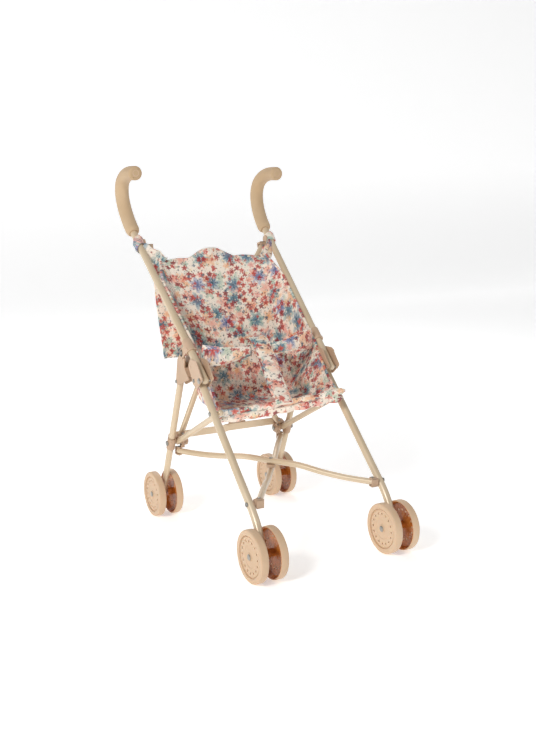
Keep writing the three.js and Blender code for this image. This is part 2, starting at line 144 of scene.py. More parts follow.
# The brace turns on this point of the rear leg, about the leg's own backward direction.
HINGE = move(BOLT, LEG_UP, -2)
BACKWARD = Vector((0, *LEG_BACK)) / 1000
REAR_PIN = move(BOLT, LIFT, -DROP)
LOW_PIN = move(BOLT, UPWARD, ARM)
TOP_PIN = move(TOP, UPWARD, -ARM)


# ---------------------------------------------------------------- mesh tools
class Shell:
    """Closed shells gathered into one mesh, each with a material number."""

    def __init__(self):
        self.bm = bmesh.new()
        self.number = 0

    def face(self, verts):
        face = self.bm.faces.new(verts)
        face.material_index = self.number
        face.smooth = True
        return face

    def rings(self, rings, closed=False):
        """Skin rings of points; closed joins the last ring to the first."""
        made = [[self.bm.verts.new(p) for p in ring] for ring in rings]
        count = len(made[0])
        pairs = list(zip(made, made[1:] + made[:1])) if closed else list(zip(made, made[1:]))
        for low, high in pairs:
            for i in range(count):
                j = (i + 1) % count
                self.face((low[i], low[j], high[j], high[i]))
        if not closed:
            self.face(tuple(reversed(made[0])))
            self.face(tuple(made[-1]))

    def tube(self, path, radii, sides=24):
        """A round bar along a path; radii is one number or one for each point."""
        if not hasattr(radii, "__len__"):
            radii = [radii] * len(path)
        tangent = [(path[min(i + 1, len(path) - 1)] - path[max(i - 1, 0)]).normalized()
                   for i in range(len(path))]
        side = tangent[0].orthogonal().normalized()
        rings = []
        for point, along_path, radius in zip(path, tangent, radii):
            side = (side - along_path * side.dot(along_path)).normalized()
            other = along_path.cross(side)
            rings.append([point + (side * math.cos(a) + other * math.sin(a)) * radius
                          for a in (2 * math.pi * i / sides for i in range(sides))])
        self.rings(rings)

    def bar(self, path, radius, sides, first=0, last=None):
        """A tube with round ends; first and last can leave part of an end off."""
        around, radii = ball_ends(path, radius)
        self.tube(around[first:last], radii[first:last], sides)

    def rod(self, a, b, radius, edge=0.0, sides=28):
        """A straight bar with eased ends; all in metres."""
        d = (b - a).normalized()
        if edge <= 0:
            self.tube([a, b], radius, sides)
            return
        path, radii = [a], [radius - edge]
        path += [a + d * edge * 0.3, a + d * edge, b - d * edge, b - d * edge * 0.3, b]
        radii += [radius - edge * 0.3, radius, radius, radius - edge * 0.3, radius - edge]
        self.tube(path, radii, sides)

    def dome(self, base, d, radius, height, sides=20):
        """A rivet head standing on base."""
        d = d.normalized()
        steps = [(0.0, 1.0), (0.35, 1.0), (0.62, 0.9), (0.84, 0.68), (0.96, 0.4), (1.0, 0.12)]
        self.tube([base + d * height * k for k, _ in steps], [radius * r for _, r in steps], sides)

    def plate(self, outline, x0, x1, corner=1.6):
        """A side-view outline with rounded corners, extruded across."""
        points = rounded(outline, corner)
        low, high = sorted((x0, x1))
        self.rings([[at(low, p) for p in points], [at(high, p) for p in points]])

    def block(self, origin, ey, ez, x0, x1, y0, y1, z0, z1, corner=1.0):
        """A box on axes turned in the side view; y and z run along ey and ez."""
        def spot(a, b):
            return move(move(origin, ey, a), ez, b)
        self.plate([spot(y0, z0), spot(y1, z0), spot(y1, z1), spot(y0, z1)], x0, x1, corner)

    def lathe(self, profile, origin, axis, sides=64, numbers=None):
        """profile is a closed loop of (radius, distance along axis) in metres."""
        axis = axis.normalized()
        side = axis.orthogonal().normalized()
        other = axis.cross(side)
        made = []
        for k in range(sides):
            a = 2 * math.pi * k / sides
            spoke = side * math.cos(a) + other * math.sin(a)
            made.append([self.bm.verts.new(origin + spoke * r + axis * h) for r, h in profile])
        count = len(profile)
        for k in range(sides):
            here, there = made[k], made[(k + 1) % sides]
            for i in range(count):
                j = (i + 1) % count
                if numbers:
                    self.number = numbers[i]
                self.face((here[i], here[j], there[j], there[i]))
        self.number = 0

    def build(self, name, materials, bevel=0.0004):
        item = to_object(self.bm, name, materials)
        if bevel:
            eased = item.modifiers.new("eased_edges", "BEVEL")
            eased.width = bevel
            eased.segments = 2
            eased.limit_method = "ANGLE"
            eased.angle_limit = math.radians(35)
        sharp_by_angle(item.data, 42)
        return item


def to_object(bm, name, materials):
    """A linked object from a finished bmesh, which is freed."""
    bmesh.ops.recalc_face_normals(bm, faces=bm.faces)
    mesh = bpy.data.meshes.new(name)
    bm.to_mesh(mesh)
    bm.free()
    for material in materials:
        mesh.materials.append(material)
    item = bpy.data.objects.new(name, mesh)
    bpy.context.scene.collection.objects.link(item)
    return item


def sharp_by_angle(mesh, degrees):
    """Mark edges that turn more than this as sharp, so flats stay flat."""
    bm = bmesh.new()
    bm.from_mesh(mesh)
    limit = math.radians(degrees)
    for edge in bm.edges:
        if len(edge.link_faces) == 2 and edge.calc_face_angle(0) > limit:
            edge.smooth = False
    bm.to_mesh(mesh)
    bm.free()


def rounded(outline, radius, steps=4):
    """Round the corners of a closed outline."""
    points = []
    count = len(outline)
    for i, p in enumerate(outline):
        before, after = outline[i - 1], outline[(i + 1) % count]
        a, b = math.dist(p, before), math.dist(p, after)
        cut = min(radius, a * 0.45, b * 0.45)
        start, end = lerp(p, before, cut / a), lerp(p, after, cut / b)
        for k in range(steps + 1):
            t = k / steps
            first, second = lerp(start, p, t), lerp(p, end, t)
            points.append(lerp(first, second, t))
    return points


def curve(points, step=0.004):
    """A smooth path through the points, sampled about every step metres."""
    out = []
    for i in range(len(points) - 1):
        p0 = points[max(i - 1, 0)]
        p1, p2 = points[i], points[i + 1]
        p3 = points[min(i + 2, len(points) - 1)]
        count = max(2, int((p2 - p1).length / step))
        for k in range(count):
            t = k / count
            out.append(0.5 * ((2 * p1) + (p2 - p0) * t + (2 * p0 - 5 * p1 + 4 * p2 - p3) * t * t
                              + (3 * p1 - p0 - 3 * p2 + p3) * t ** 3))
    out.append(points[-1].copy())
    return out


def straight(a, b, count):
    """A straight path of count equal steps."""
    return [Vector(lerp(a, b, k / count)) for k in range(count + 1)]


def ball_ends(path, radius):
    """Radii and extra points that close a bar with round ends."""
    head = (path[0] - path[1]).normalized()
    tail = (path[-1] - path[-2]).normalized()
    steps = [(1.0, 0.12), (0.94, 0.34), (0.78, 0.63), (0.5, 0.87), (0.25, 0.97)]
    points = [path[0] + head * radius * k for k, _ in steps] + list(path)
    points += [path[-1] + tail * radius * k for k, _ in reversed(steps)]
    radii = [radius * r for _, r in steps] + [radius] * len(path)
    return points, radii + [radius * r for _, r in reversed(steps)]


def place(item, body, slot, *nodes):
    """Put a piece on its body and hide the nodes that it stands for; slot is not used."""
    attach(item, body)
    if nodes:
        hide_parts(*nodes)
    return item


# ---------------------------------------------------------------- materials
def linear(value):
    """sRGB hex text to linear RGBA."""
    parts = [int(value.lstrip("#")[i:i + 2], 16) / 255 for i in (0, 2, 4)]
    return tuple(c / 12.92 if c <= 0.04045 else ((c + 0.055) / 1.055) ** 2.4 for c in parts) + (1,)


def add(tree, kind, inputs=None, stops=None, **settings):
    """One node: inputs are values or sockets, stops colour a ramp, settings are its options."""
    item = tree.nodes.new(kind)
    for key, value in settings.items():
        setattr(item, key, value)
    for key, value in (inputs or {}).items():
        if isinstance(value, bpy.types.NodeSocket):
            tree.links.new(value, item.inputs[key])
        else:
            item.inputs[key].default_value = value
    if stops:
        elements = item.color_ramp.elements
        while len(elements) < len(stops):
            elements.new(0.5)
        for element, (position, colour) in zip(elements, stops):
            element.position = position
            element.color = colour
    return item


def surface(name, **values):
    """A material with one shader, whose plain values are set on its own sockets."""
    material = bpy.data.materials.new(name)
    material.use_nodes = True
    tree = material.node_tree
    tree.nodes.clear()
    shader = add(tree, "ShaderNodeBsdfPrincipled",
                 {key.replace("_", " "): value for key, value in values.items()})
    add(tree, "ShaderNodeOutputMaterial", {0: shader.outputs[0]})
    return material, tree, shader


def grey(value):
    return (value, value, value, 1)


def mottled(tree, shader, dark, light, scale, rough, depth, bump_scale, bump_mm):
    """Slight colour drift, uneven gloss and a fine surface, in object space."""
    place_in = add(tree, "ShaderNodeTexCoord").outputs["Object"]
    drift = add(tree, "ShaderNodeTexNoise", {"Vector": place_in, "Scale": scale, "Detail": 3.0})
    tone = add(tree, "ShaderNodeValToRGB", {0: drift.outputs[0]},
               [(0.35, linear(dark)), (0.65, linear(light))])
    tree.links.new(tone.outputs[0], shader.inputs["Base Color"])
    uneven = add(tree, "ShaderNodeTexNoise",
                 {"Vector": place_in, "Scale": scale * 4, "Detail": 4.0})
    gloss = add(tree, "ShaderNodeValToRGB", {0: uneven.outputs[0]},
                [(0.3, grey(rough - depth)), (0.7, grey(rough + depth))])
    tree.links.new(gloss.outputs[0], shader.inputs["Roughness"])
    grain = add(tree, "ShaderNodeTexNoise",
                {"Vector": place_in, "Scale": bump_scale, "Detail": 2.0})
    bump = add(tree, "ShaderNodeBump",
               {"Height": grain.outputs[0], "Strength": 0.6, "Distance": bump_mm / 1000})
    tree.links.new(bump.outputs[0], shader.inputs["Normal"])
    return place_in


def enamel_on_steel(colours):
    # Stove enamel on steel tube: soft gloss with a faint orange peel of about 1.5 mm.
    material, tree, shader = surface("cream_stove_enamel", IOR=1.5, Metallic=0.16,
                                     Coat_Weight=0.3, Coat_Roughness=0.15)
    mottled(tree, shader, colours.enamel_shade, colours.enamel, 9, 0.34, 0.05, 650, 0.05)
    return material


def moulded_polypropylene(colours):
    # Injection-moulded polypropylene: satin with a fine spark-eroded texture near 1 mm.
    material, tree, shader = surface("moulded_polypropylene", IOR=1.49, Subsurface_Weight=0.08,
                                     Subsurface_Radius=(0.004, 0.002, 0.0012))
    mottled(tree, shader, colours.plastic_shade, colours.plastic, 14, 0.5, 0.06, 900, 0.06)
    return material


def wheel_polypropylene(colours):
    # Wheel moulding: warm peach, slightly translucent, satin, faint flow marks.
    material, tree, shader = surface("wheel_polypropylene", IOR=1.49, Subsurface_Weight=0.12,
                                     Subsurface_Radius=(0.006, 0.003, 0.0015))
    mottled(tree, shader, colours.wheel_shade, colours.wheel, 11, 0.48, 0.06, 800, 0.05)
    return material


def wheel_hollow_painted_shade_and_glow(colours):
    # Inside of the wheel: smooth and glossy; its amber-brown colour and darker drift are painted shade
    # in the hollow and painted light through the thin wall, not the plastic's own colour.
    material, tree, shader = surface("wheel_hollow_painted_shade_and_glow", IOR=1.49)
    mottled(tree, shader, colours.hollow_shade, colours.hollow, 60, 0.24, 0.08, 800, 0.05)
    return material


def eva_foam(colours):
    # Closed-cell EVA foam grip: matt, skin pricked with pores about 1.2 mm apart.
    material, tree, shader = surface("eva_foam", Sheen_Weight=0.15, Sheen_Roughness=0.5)
    place_in = mottled(tree, shader, colours.foam_shade, colours.foam, 16, 0.86, 0.05, 500, 0.1)
    pores = add(tree, "ShaderNodeTexVoronoi", {"Vector": place_in, "Scale": 800.0})
    pits = add(tree, "ShaderNodeValToRGB", {0: pores.outputs["Distance"]},
               [(0.0, grey(0)), (0.35, grey(1))])
    bump = add(tree, "ShaderNodeBump",
               {"Height": pits.outputs[0], "Strength": 0.7, "Distance": 0.0002})
    tree.links.new(bump.outputs[0], shader.inputs["Normal"])
    return material


def zinc_steel(colours):
    # Zinc-plated rivets and screws: dull metal with fine turned lines.
    material, tree, shader = surface("zinc_plated_steel", Metallic=1.0)
    mottled(tree, shader, "#8C8A85", colours.steel, 60, 0.38, 0.08, 2500, 0.02)
    return material


def hole_painted_shade(colours):
    # Painted shade in the depth of a screw hole: almost black, a little oily shine.
    material, tree, shader = surface("hole_painted_shade")
    mottled(tree, shader, "#17110D", "#241A14", 80, 0.45, 0.08, 2000, 0.02)
    return material


def stage_paper(name):
    # Matt studio paper lit from below: no gloss, a breath of fibre, almost pure white.
    material, tree, shader = surface(name, Base_Color=grey(1), Roughness=0.9,
                                     Specular_IOR_Level=0.1, Emission_Color=grey(1),
                                     Emission_Strength=PAPER_GLOW)
    place_in = add(tree, "ShaderNodeTexCoord").outputs["Object"]
    fibre = add(tree, "ShaderNodeTexNoise", {"Vector": place_in, "Scale": 300.0})
    bump = add(tree, "ShaderNodeBump",
               {"Height": fibre.outputs[0], "Strength": 0.3, "Distance": 0.00002})
    tree.links.new(bump.outputs[0], shader.inputs["Normal"])
    return material


# The print, from the largest shapes to the smallest, in millimetres: spacing, shift of the
# pattern, size, petals, share of places that bloom, share of ink, size of the clusters that the
# flowers come in (0 for none), and the inks.
PRINT = [
    (27, 13, 27, 6, 0.95, 0.7, 0, ["#F5BC8C", "#F4B39C", "#B9CBB5", "#F2A58B"]),
    (36, 31, 37, 7, 0.85, 0.72, 0, ["#8DB0AE", "#9BBAB6", "#8FA9B4", "#A3ADC8"]),
    (19, 47, 15, 6, 0.6, 0.7, 0, ["#F09E86", "#F4BA84", "#9FBFAC", "#EC9A8C"]),
    (36, 31, 22, 9, 0.85, 0.85, 0, ["#5F8799", "#4F7C90", "#5C7F97", "#7781A8"]),
    (11.5, 57, 12.4, 5, 0.9, 0.92, 27, ["#B93631", "#CB4D42", "#A12A2C", "#D76656"]),
    (12, 83, 7.4, 5, 0.5, 0.85, 0, ["#F7E5C4", "#CE5D4F", "#3F6A7E", "#E0926F"]),
    (6.4, 101, 2.8, 4, 0.55, 0.85, 0, ["#243B54", "#74222C", "#2F5244"]),
]


def blooms(tree, cloth, spacing, shift, size, petals, share, cluster, inks):
    """Flowers on a jittered grid: their mask, their ink and the distance from their middle."""
    moved = add(tree, "ShaderNodeMapping",
                {"Vector": cloth, "Location": (shift / 1000, shift / 1400, 0)}).outputs[0]
    cells = add(tree, "ShaderNodeTexVoronoi",
                {"Vector": moved, "Scale": 1000 / spacing, "Randomness": 0.85},
                voronoi_dimensions="2D")
    local = add(tree, "ShaderNodeVectorMath", {0: moved, 1: cells.outputs["Position"]},
                operation="SUBTRACT").outputs[0]
    part = add(tree, "ShaderNodeSeparateXYZ", {0: local})
    chance = add(tree, "ShaderNodeSeparateColor", {0: cells.outputs["Color"]})
    turn = add(tree, "ShaderNodeMath", {0: part.outputs[1], 1: part.outputs[0]},
               operation="ARCTAN2")
    petal = add(tree, "ShaderNodeMath", {0: turn.outputs[0], 1: float(petals),
                                         2: chance.outputs[1]}, operation="MULTIPLY_ADD")
    wave = add(tree, "ShaderNodeMath", {0: petal.outputs[0]}, operation="COSINE")
    edge = add(tree, "ShaderNodeMath", {0: wave.outputs[0], 1: 0.22 * size / 2000,
                                        2: 0.8 * size / 2000}, operation="MULTIPLY_ADD")
    reach = add(tree, "ShaderNodeVectorMath", {0: local}, operation="LENGTH")
    inside = add(tree, "ShaderNodeMath", {0: reach.outputs["Value"], 1: edge.outputs[0]},
                 operation="DIVIDE").outputs[0]
    disc = add(tree, "ShaderNodeValToRGB", {0: inside},
               [(0.0, grey(1)), (0.7, grey(0.95)), (1.0, grey(0))])
    shown = add(tree, "ShaderNodeMath", {0: chance.outputs[2], 1: share}, operation="LESS_THAN")
    mask = add(tree, "ShaderNodeMath", {0: disc.outputs[0], 1: shown.outputs[0]},
               operation="MULTIPLY")
    if cluster:
        patch = add(tree, "ShaderNodeTexNoise",
                    {"Vector": cells.outputs["Position"], "Scale": 1000 / cluster, "Detail": 0.0})
        inked = add(tree, "ShaderNodeMath", {0: patch.outputs[0], 1: 0.47},
                    operation="GREATER_THAN")
        mask = add(tree, "ShaderNodeMath", {0: mask.outputs[0], 1: inked.outputs[0]},
                   operation="MULTIPLY")
    ink = add(tree, "ShaderNodeValToRGB", {0: chance.outputs[0]},
              [(k / len(inks), linear(c)) for k, c in enumerate(inks)])
    ink.color_ramp.interpolation = "CONSTANT"
    return mask.outputs[0], ink.outputs[0], inside


def printed_cotton(colours):
    # Plain-weave cotton with a watercolour flower print; threads drawn at 0.7 mm so they show.
    material, tree, shader = surface("printed_cotton", Roughness=0.88, Sheen_Weight=0.2,
                                     Sheen_Roughness=0.5)
    cloth = add(tree, "ShaderNodeUVMap", uv_map="cloth").outputs[0]
    wobble = add(tree, "ShaderNodeTexNoise", {"Vector": cloth, "Scale": 230.0, "Detail": 2.0})
    push = add(tree, "ShaderNodeVectorMath", {0: wobble.outputs["Color"], 1: (0.004, 0.004, 0),
                                              2: (-0.002, -0.002, 0)}, operation="MULTIPLY_ADD")
    inked = add(tree, "ShaderNodeVectorMath", {0: cloth, 1: push.outputs[0]},
                operation="ADD").outputs[0]
    wash = add(tree, "ShaderNodeTexNoise", {"Vector": cloth, "Scale": 42.0, "Detail": 3.0})
    colour = add(tree, "ShaderNodeValToRGB", {0: wash.outputs[0]},
                 [(0.3, linear(colours.cloth_blush)), (0.45, linear(colours.cloth)),
                  (0.62, linear(colours.cloth)), (0.75, linear("#E6E8D8"))]).outputs[0]
    for *shape, strength, cluster, inks in PRINT:
        mask, ink, inside = blooms(tree, inked, *shape, cluster, inks)
        heart = add(tree, "ShaderNodeValToRGB", {0: inside},
                    [(0.0, grey(0.9)), (0.4, grey(0.15)), (1.0, grey(0))])
        deep = add(tree, "ShaderNodeMix", {0: heart.outputs[0], 6: ink, 7: ink},
                   data_type="RGBA", blend_type="MULTIPLY")
        strong = add(tree, "ShaderNodeMath", {0: mask, 1: strength}, operation="MULTIPLY")
        colour = add(tree, "ShaderNodeMix", {0: strong.outputs[0], 6: colour, 7: deep.outputs[2]},
                     data_type="RGBA").outputs[2]
    for scale, low, high, ink, share in ((290.0, 0.6, 0.66, "#38506A", 0.6),
                                         (240.0, 0.6, 0.66, "#FBF0E2", 0.7)):
        stroke = add(tree, "ShaderNodeTexNoise",
                     {"Vector": inked, "Scale": scale, "Detail": 2.0, "Distortion": 1.2})
        line = add(tree, "ShaderNodeValToRGB", {0: stroke.outputs[0]},
                   [(low, grey(0)), (high, grey(share))])
        colour = add(tree, "ShaderNodeMix", {0: line.outputs[0], 6: colour, 7: linear(ink)},
                     data_type="RGBA").outputs[2]
    threads = []
    for angle in (0.0, math.pi / 2):
        turned = add(tree, "ShaderNodeMapping", {"Vector": cloth, "Rotation": (0, 0, angle)})
        threads.append(add(tree, "ShaderNodeTexWave",
                           {"Vector": turned.outputs[0], "Scale": 1000 / 0.7 / 20,
                            "Distortion": 0.6, "Detail": 1.0}).outputs["Fac"])
    yarn = add(tree, "ShaderNodeMath", {0: threads[0], 1: threads[1]}, operation="ADD").outputs[0]
    # Painted shade between the threads: the weave's low places are made a little darker.
    shade = add(tree, "ShaderNodeValToRGB", {0: yarn}, [(0.0, grey(0.75)), (1.0, grey(1))])
    thread_painted_shade = add(tree, "ShaderNodeMix", {0: 0.2, 6: colour, 7: shade.outputs[0]},
               data_type="RGBA", blend_type="MULTIPLY")
    tree.links.new(thread_painted_shade.outputs[2], shader.inputs["Base Color"])
    crease = add(tree, "ShaderNodeTexNoise", {"Vector": cloth, "Scale": 55.0, "Detail": 4.0})
    fold = add(tree, "ShaderNodeBump",
               {"Height": crease.outputs[0], "Strength": 0.35, "Distance": 0.0015})
    bump = add(tree, "ShaderNodeBump", {"Height": yarn, "Normal": fold.outputs[0],
                                        "Strength": 0.35, "Distance": 0.00025})
    tree.links.new(bump.outputs[0], shader.inputs["Normal"])
    return material


MAKERS = {
    "dark": hole_painted_shade, "enamel": enamel_on_steel, "plastic": moulded_polypropylene,
    "wheel": wheel_polypropylene, "hollow": wheel_hollow_painted_shade_and_glow, "foam": eva_foam,
    "steel": zinc_steel, "cloth": printed_cotton,
}
MADE = {}


def finish_of(kind):
    """The material of this kind, made once."""
    if kind not in MADE:
        MADE[kind] = MAKERS[kind](bpy.context.scene.stroller_colours)
    return MADE[kind]


# ---------------------------------------------------------------- sizes and colours
def hex_property(label, text, value):
    """A colour kept as sRGB hex text."""
    return bpy.props.StringProperty(name=label, description=text, default=value)


class StrollerColours(bpy.types.PropertyGroup):
    enamel: hex_property("Enamel", "Tube enamel in the light, sRGB hex", "#DCC8AB")
    enamel_shade: hex_property("Enamel shade", "Tube enamel in its darker drift", "#D2BC9C")
    plastic: hex_property("Moulded plastic", "Brackets and connectors", "#CBAE93")
    plastic_shade: hex_property("Moulded plastic shade", "Darker drift of the brackets", "#C1A286")
    wheel: hex_property("Wheel", "Wheel moulding", "#D9BB9B")
    wheel_shade: hex_property("Wheel shade", "Darker drift of the wheels", "#D0B08F")
    # The wheel hollow colours are painted shade and painted light through the thin wall; the wheel
    # plastic itself is one colour.
    hollow: hex_property("Wheel hollow", "Inside of the wheel", "#D9893F")
    hollow_shade: hex_property("Wheel hollow shade", "Inside of the wheel, darker", "#A35C24")
    foam: hex_property("Grip foam", "Foam of the grips", "#CBB08E")
    foam_shade: hex_property("Grip foam shade", "Darker drift of the foam", "#BFA27E")
    steel: hex_property("Rivet steel", "Zinc plate", "#B9B7B1")
    cloth: hex_property("Cloth ground", "Unprinted cotton", "#F9EBDA")
    cloth_blush: hex_property("Cloth blush", "Washed pink of the ground", "#F8D8C4")


class StrollerSizes(bpy.types.PropertyGroup):
    tube: bpy.props.FloatProperty(name="Tube radius", description="Handle tubes and front legs",
                                  default=0.0055, unit="LENGTH", precision=4)
    rear: bpy.props.FloatProperty(name="Rear leg radius", description="Rear legs",
                                  default=0.005, unit="LENGTH", precision=4)
    bar: bpy.props.FloatProperty(name="Cross tube radius", description="Cross tubes and links",
                                 default=0.0045, unit="LENGTH", precision=4)
    grip: bpy.props.FloatProperty(name="Grip radius", description="Foam grips", default=0.011,
                                  unit="LENGTH", precision=4)
    wrinkle: bpy.props.FloatProperty(name="Wrinkle depth", description="Depth of cloth wrinkles",
                                     default=0.0016, unit="LENGTH", precision=4)
    lens: bpy.props.FloatProperty(name="Lens", description="Camera focal length in millimetres",
                                  default=62.68, unit="CAMERA")


# ---------------------------------------------------------------- stage
class STROLLER_OT_stage(bpy.types.Operator):
    """Camera, floor, backdrop and soft lights"""
    bl_idname = "stroller.stage"
    bl_label = "Stage and camera"

    def execute(self, context):
        scene = context.scene
        back = Vector((-0.47138, -0.86658, 0.16382)).normalized()
        right = Vector((0.87845, -0.47784, 0)).normalized()
        up = back.cross(right)
        roll = math.radians(-1.315)
        across = right * math.cos(roll) + up * math.sin(roll)
        upright = up * math.cos(roll) - right * math.sin(roll)
        turn = Matrix((across, upright, back)).transposed().to_4x4()
        data = bpy.data.cameras.new("view")
        data.sensor_fit = "HORIZONTAL"
        data.sensor_width = 36
        data.lens = scene.stroller_sizes.lens
        data.clip_start = 0.05
        camera = bpy.data.objects.new("view", data)
        camera.matrix_world = Matrix.Translation((-0.6535, -1.2312, 0.4689)) @ turn
        scene.collection.objects.link(camera)
        scene.camera = camera

        sweep = Shell()
        profile = [(-4.0, 0.0), (3.2, 0.0)]
        profile += [(3.2 + math.sin(a) * 0.8, 0.8 - math.cos(a) * 0.8)
                    for a in (math.pi / 2 * i / 10 for i in range(1, 11))]
        profile += [(4.0, 4.0)]
        rows = [[sweep.bm.verts.new((x, y, z)) for y, z in profile] for x in (-9.0, 9.0)]
        for i in range(len(profile) - 1):
            sweep.face((rows[0][i], rows[1][i], rows[1][i + 1], rows[0][i + 1]))
        floor = sweep.build("studio_floor", [stage_paper("studio_paper")], bevel=0)

        def lamp(name, where, aim, size, power):
            light = bpy.data.lights.new(name, "AREA")
            light.shape = "DISK"
            light.size = size
            light.energy = power
            item = bpy.data.objects.new(name, light)
            item.location = where
            item.rotation_euler = (Vector(aim) - Vector(where)).to_track_quat("-Z", "Y").to_euler()
            scene.collection.objects.link(item)

        lamp("key", (-1.95, -1.2, 1.5), (0, 0, 0.28), 0.7, 34)
        lamp("fill", (1.6, -1.9, 0.9), (0, 0, 0.25), 1.4, 7)
        lamp("rim", (0.9, 1.6, 1.9), (0, 0, 0.25), 1.0, 11)
        world = bpy.data.worlds.new("studio_air")
        world.use_nodes = True
        world.node_tree.nodes["Background"].inputs[0].default_value = (1, 1, 1, 1)
        world.node_tree.nodes["Background"].inputs[1].default_value = 0.3
        scene.world = world
        scene.view_settings.view_transform = "Standard"
        return {"FINISHED"}


# ---------------------------------------------------------------- frame pieces
class STROLLER_OT_handles(bpy.types.Operator):
    """Handle tubes with their pivot pins, foam grips and end plugs"""
    bl_idname = "stroller.handles"
    bl_label = "Handles and grips"

    def execute(self, context):
        sizes = context.scene.stroller_sizes
        for s, side in SIDES:
            body = "frame" if s < 0 else "right_handle"
            points = [at(s * handle_x(p[1]), p) for p in [FRONT_PIVOT] + HANDLE]
            self.tube(s, side, body, points, sizes.tube)
            self.grip(s, side, body, points, sizes)
            self.plug(s, side, body)
        return {"FINISHED"}

    def tube(self, s, side, body, points, radius):
        path = curve(points[:-1] + [at(s * handle_x(545), (237, 544.9))], 0.006)
        shell = Shell()
        shell.bar(path, radius, 28, 0, -4)
        shell.number = 1
        shell.rod(at(s * (X - 9.5), FRONT_PIVOT), at(s * (X + 12), FRONT_PIVOT), BOLT_R)
        shell.dome(at(s * (X + 10.5), FRONT_PIVOT), Vector((s, 0, 0)), 0.0042, 0.0016)
        shell.dome(at(s * (X - 9.1), FRONT_PIVOT), Vector((-s, 0, 0)), 0.0042, 0.0014)
        item = shell.build(f"{side}_handle_tube_shell", [finish_of("enamel"), finish_of("steel")], 0)
        place(item, body, "enamel", f"{side}_handle_tube")

    def grip(self, s, side, body, points, sizes):
        """Foam sleeve with a soft lip at the tube and a rolled, open end."""
        start = at(s * handle_x(453), (264.5, 453))
        path = curve([start] + points[5:], 0.004)
        radii = [sizes.grip] * len(path)
        for i, cut in enumerate((0.0028, 0.0009)):
            radii[i] = sizes.grip - cut
        tail = (path[-1] - path[-2]).normalized()
        path[-1] = path[-1] - tail * 0.003
        path += [path[-1] + tail * k for k in (0.0012, 0.0022, 0.0028, 0.003, 0.0022, 0.0005)]
        radii += [sizes.grip * k for k in (0.97, 0.9, 0.79, 0.66, 0.56, 0.53)]
        path.insert(0, path[0] + (path[1] - path[0]).normalized() * 0.001)
        radii.insert(0, sizes.tube + 0.0004)
        shell = Shell()
        shell.tube(path, radii, 40)
        item = shell.build(f"{side}_foam_grip", [finish_of("foam")], 0)
        place(item, body, "foam", f"{side}_grip")

    def plug(self, s, side, body):
        """End plug with a rounded rim; its screw hole is filled with a near-black rod as painted
        shade.
        """
        mouth = at(s * handle_x(544.5), (229.6, 544.5))
        out = (at(s * handle_x(544.5), (229, 544.5)) - at(s * handle_x(545.5),
                                                          (255, 545.5))).normalized()
        profile = [(0.0011, -0.003), (0.0049, -0.003), (0.0056, -0.0012), (0.0056, 0.0002),
                   (0.0047, 0.0008), (0.0034, 0.0003), (0.0022, 0.0005), (0.0014, 0.0002),
                   (0.0011, -0.0004)]
        shell = Shell()
        shell.lathe(profile, mouth, out, 36)
        # A near-black rod in the bore stands for the shade inside the hole: painted shade.
        shell.number = 1
        shell.rod(mouth - out * 0.0028, mouth - out * 0.0006, 0.00125)
        item = shell.build(f"{side}_grip_plug", [finish_of("plastic"), finish_of("dark")], 0)
        place(item, body, "moulded", f"{side}_grip_cap")


class STROLLER_OT_legs(bpy.types.Operator):
    """Front and rear legs, side links and axles"""
    bl_idname = "stroller.legs"
    bl_label = "Legs, links and axles"

    def execute(self, context):
        sizes = context.scene.stroller_sizes
        both = [finish_of("enamel"), finish_of("steel")]
        for s, side in SIDES:
            out = Vector((s, 0, 0))
            shell = Shell()
            shell.bar(curve([at(s * X, p) for p in FRONT_LEG], 0.006), sizes.tube, 28, 5)
            shell.number = 1
            for point in (LINK_FRONT, FRONT_BOLT):
                shell.dome(at(s * (X + 5), point), out, 0.0034, 0.0021)
            item = shell.build(f"{side}_front_leg_tube", both, 0)
            place(item, f"{side}_front_leg_body", "enamel", f"{side}_front_leg")

            shell = Shell()
            shell.bar(straight(at(s * X, REAR_TOP), at(s * X, REAR_AXLE), 12), sizes.rear, 28, 5)
            shell.number = 1
            shell.rod(at(s * (X - 27.6), BOLT), at(s * (X + 7.5), BOLT), BOLT_R)
            shell.dome(at(s * (X + 7.3), BOLT), out, 0.004, 0.0017)
            shell.dome(at(s * (X - 26.9), BOLT), -out, 0.004, 0.0016)
            item = shell.build(f"{side}_rear_leg_tube", both, 0)
            place(item, f"{side}_rear_leg_body", "enamel", f"{side}_rear_leg")

            shell = Shell()
            middle = s * (X - 11)
            shell.bar(straight(at(middle, LINK_FRONT), at(middle, BOLT), 10), sizes.bar, 24)
            item = shell.build(f"{side}_side_link_tube", both[:1], 0)
            place(item, f"{side}_link_body", "enamel", f"{side}_side_link")

            for end, p in (("front", FRONT_AXLE), ("rear", REAR_AXLE)):
                shell = Shell()
                shell.rod(at(s * (X - 20.6), p), at(s * (X + 20.6), p), AXLE_R)
                for k in (-1, 1):
                    shell.dome(at(s * X + k * 20.1, p), Vector((k, 0, 0)), 0.0042, 0.0013)
                item = shell.build(f"{side}_{end}_axle_pin", both[1:], 0)
                place(item, f"{side}_{end}_leg_body", "steel", f"{side}_{end}_axle")
        return {"FINISHED"}


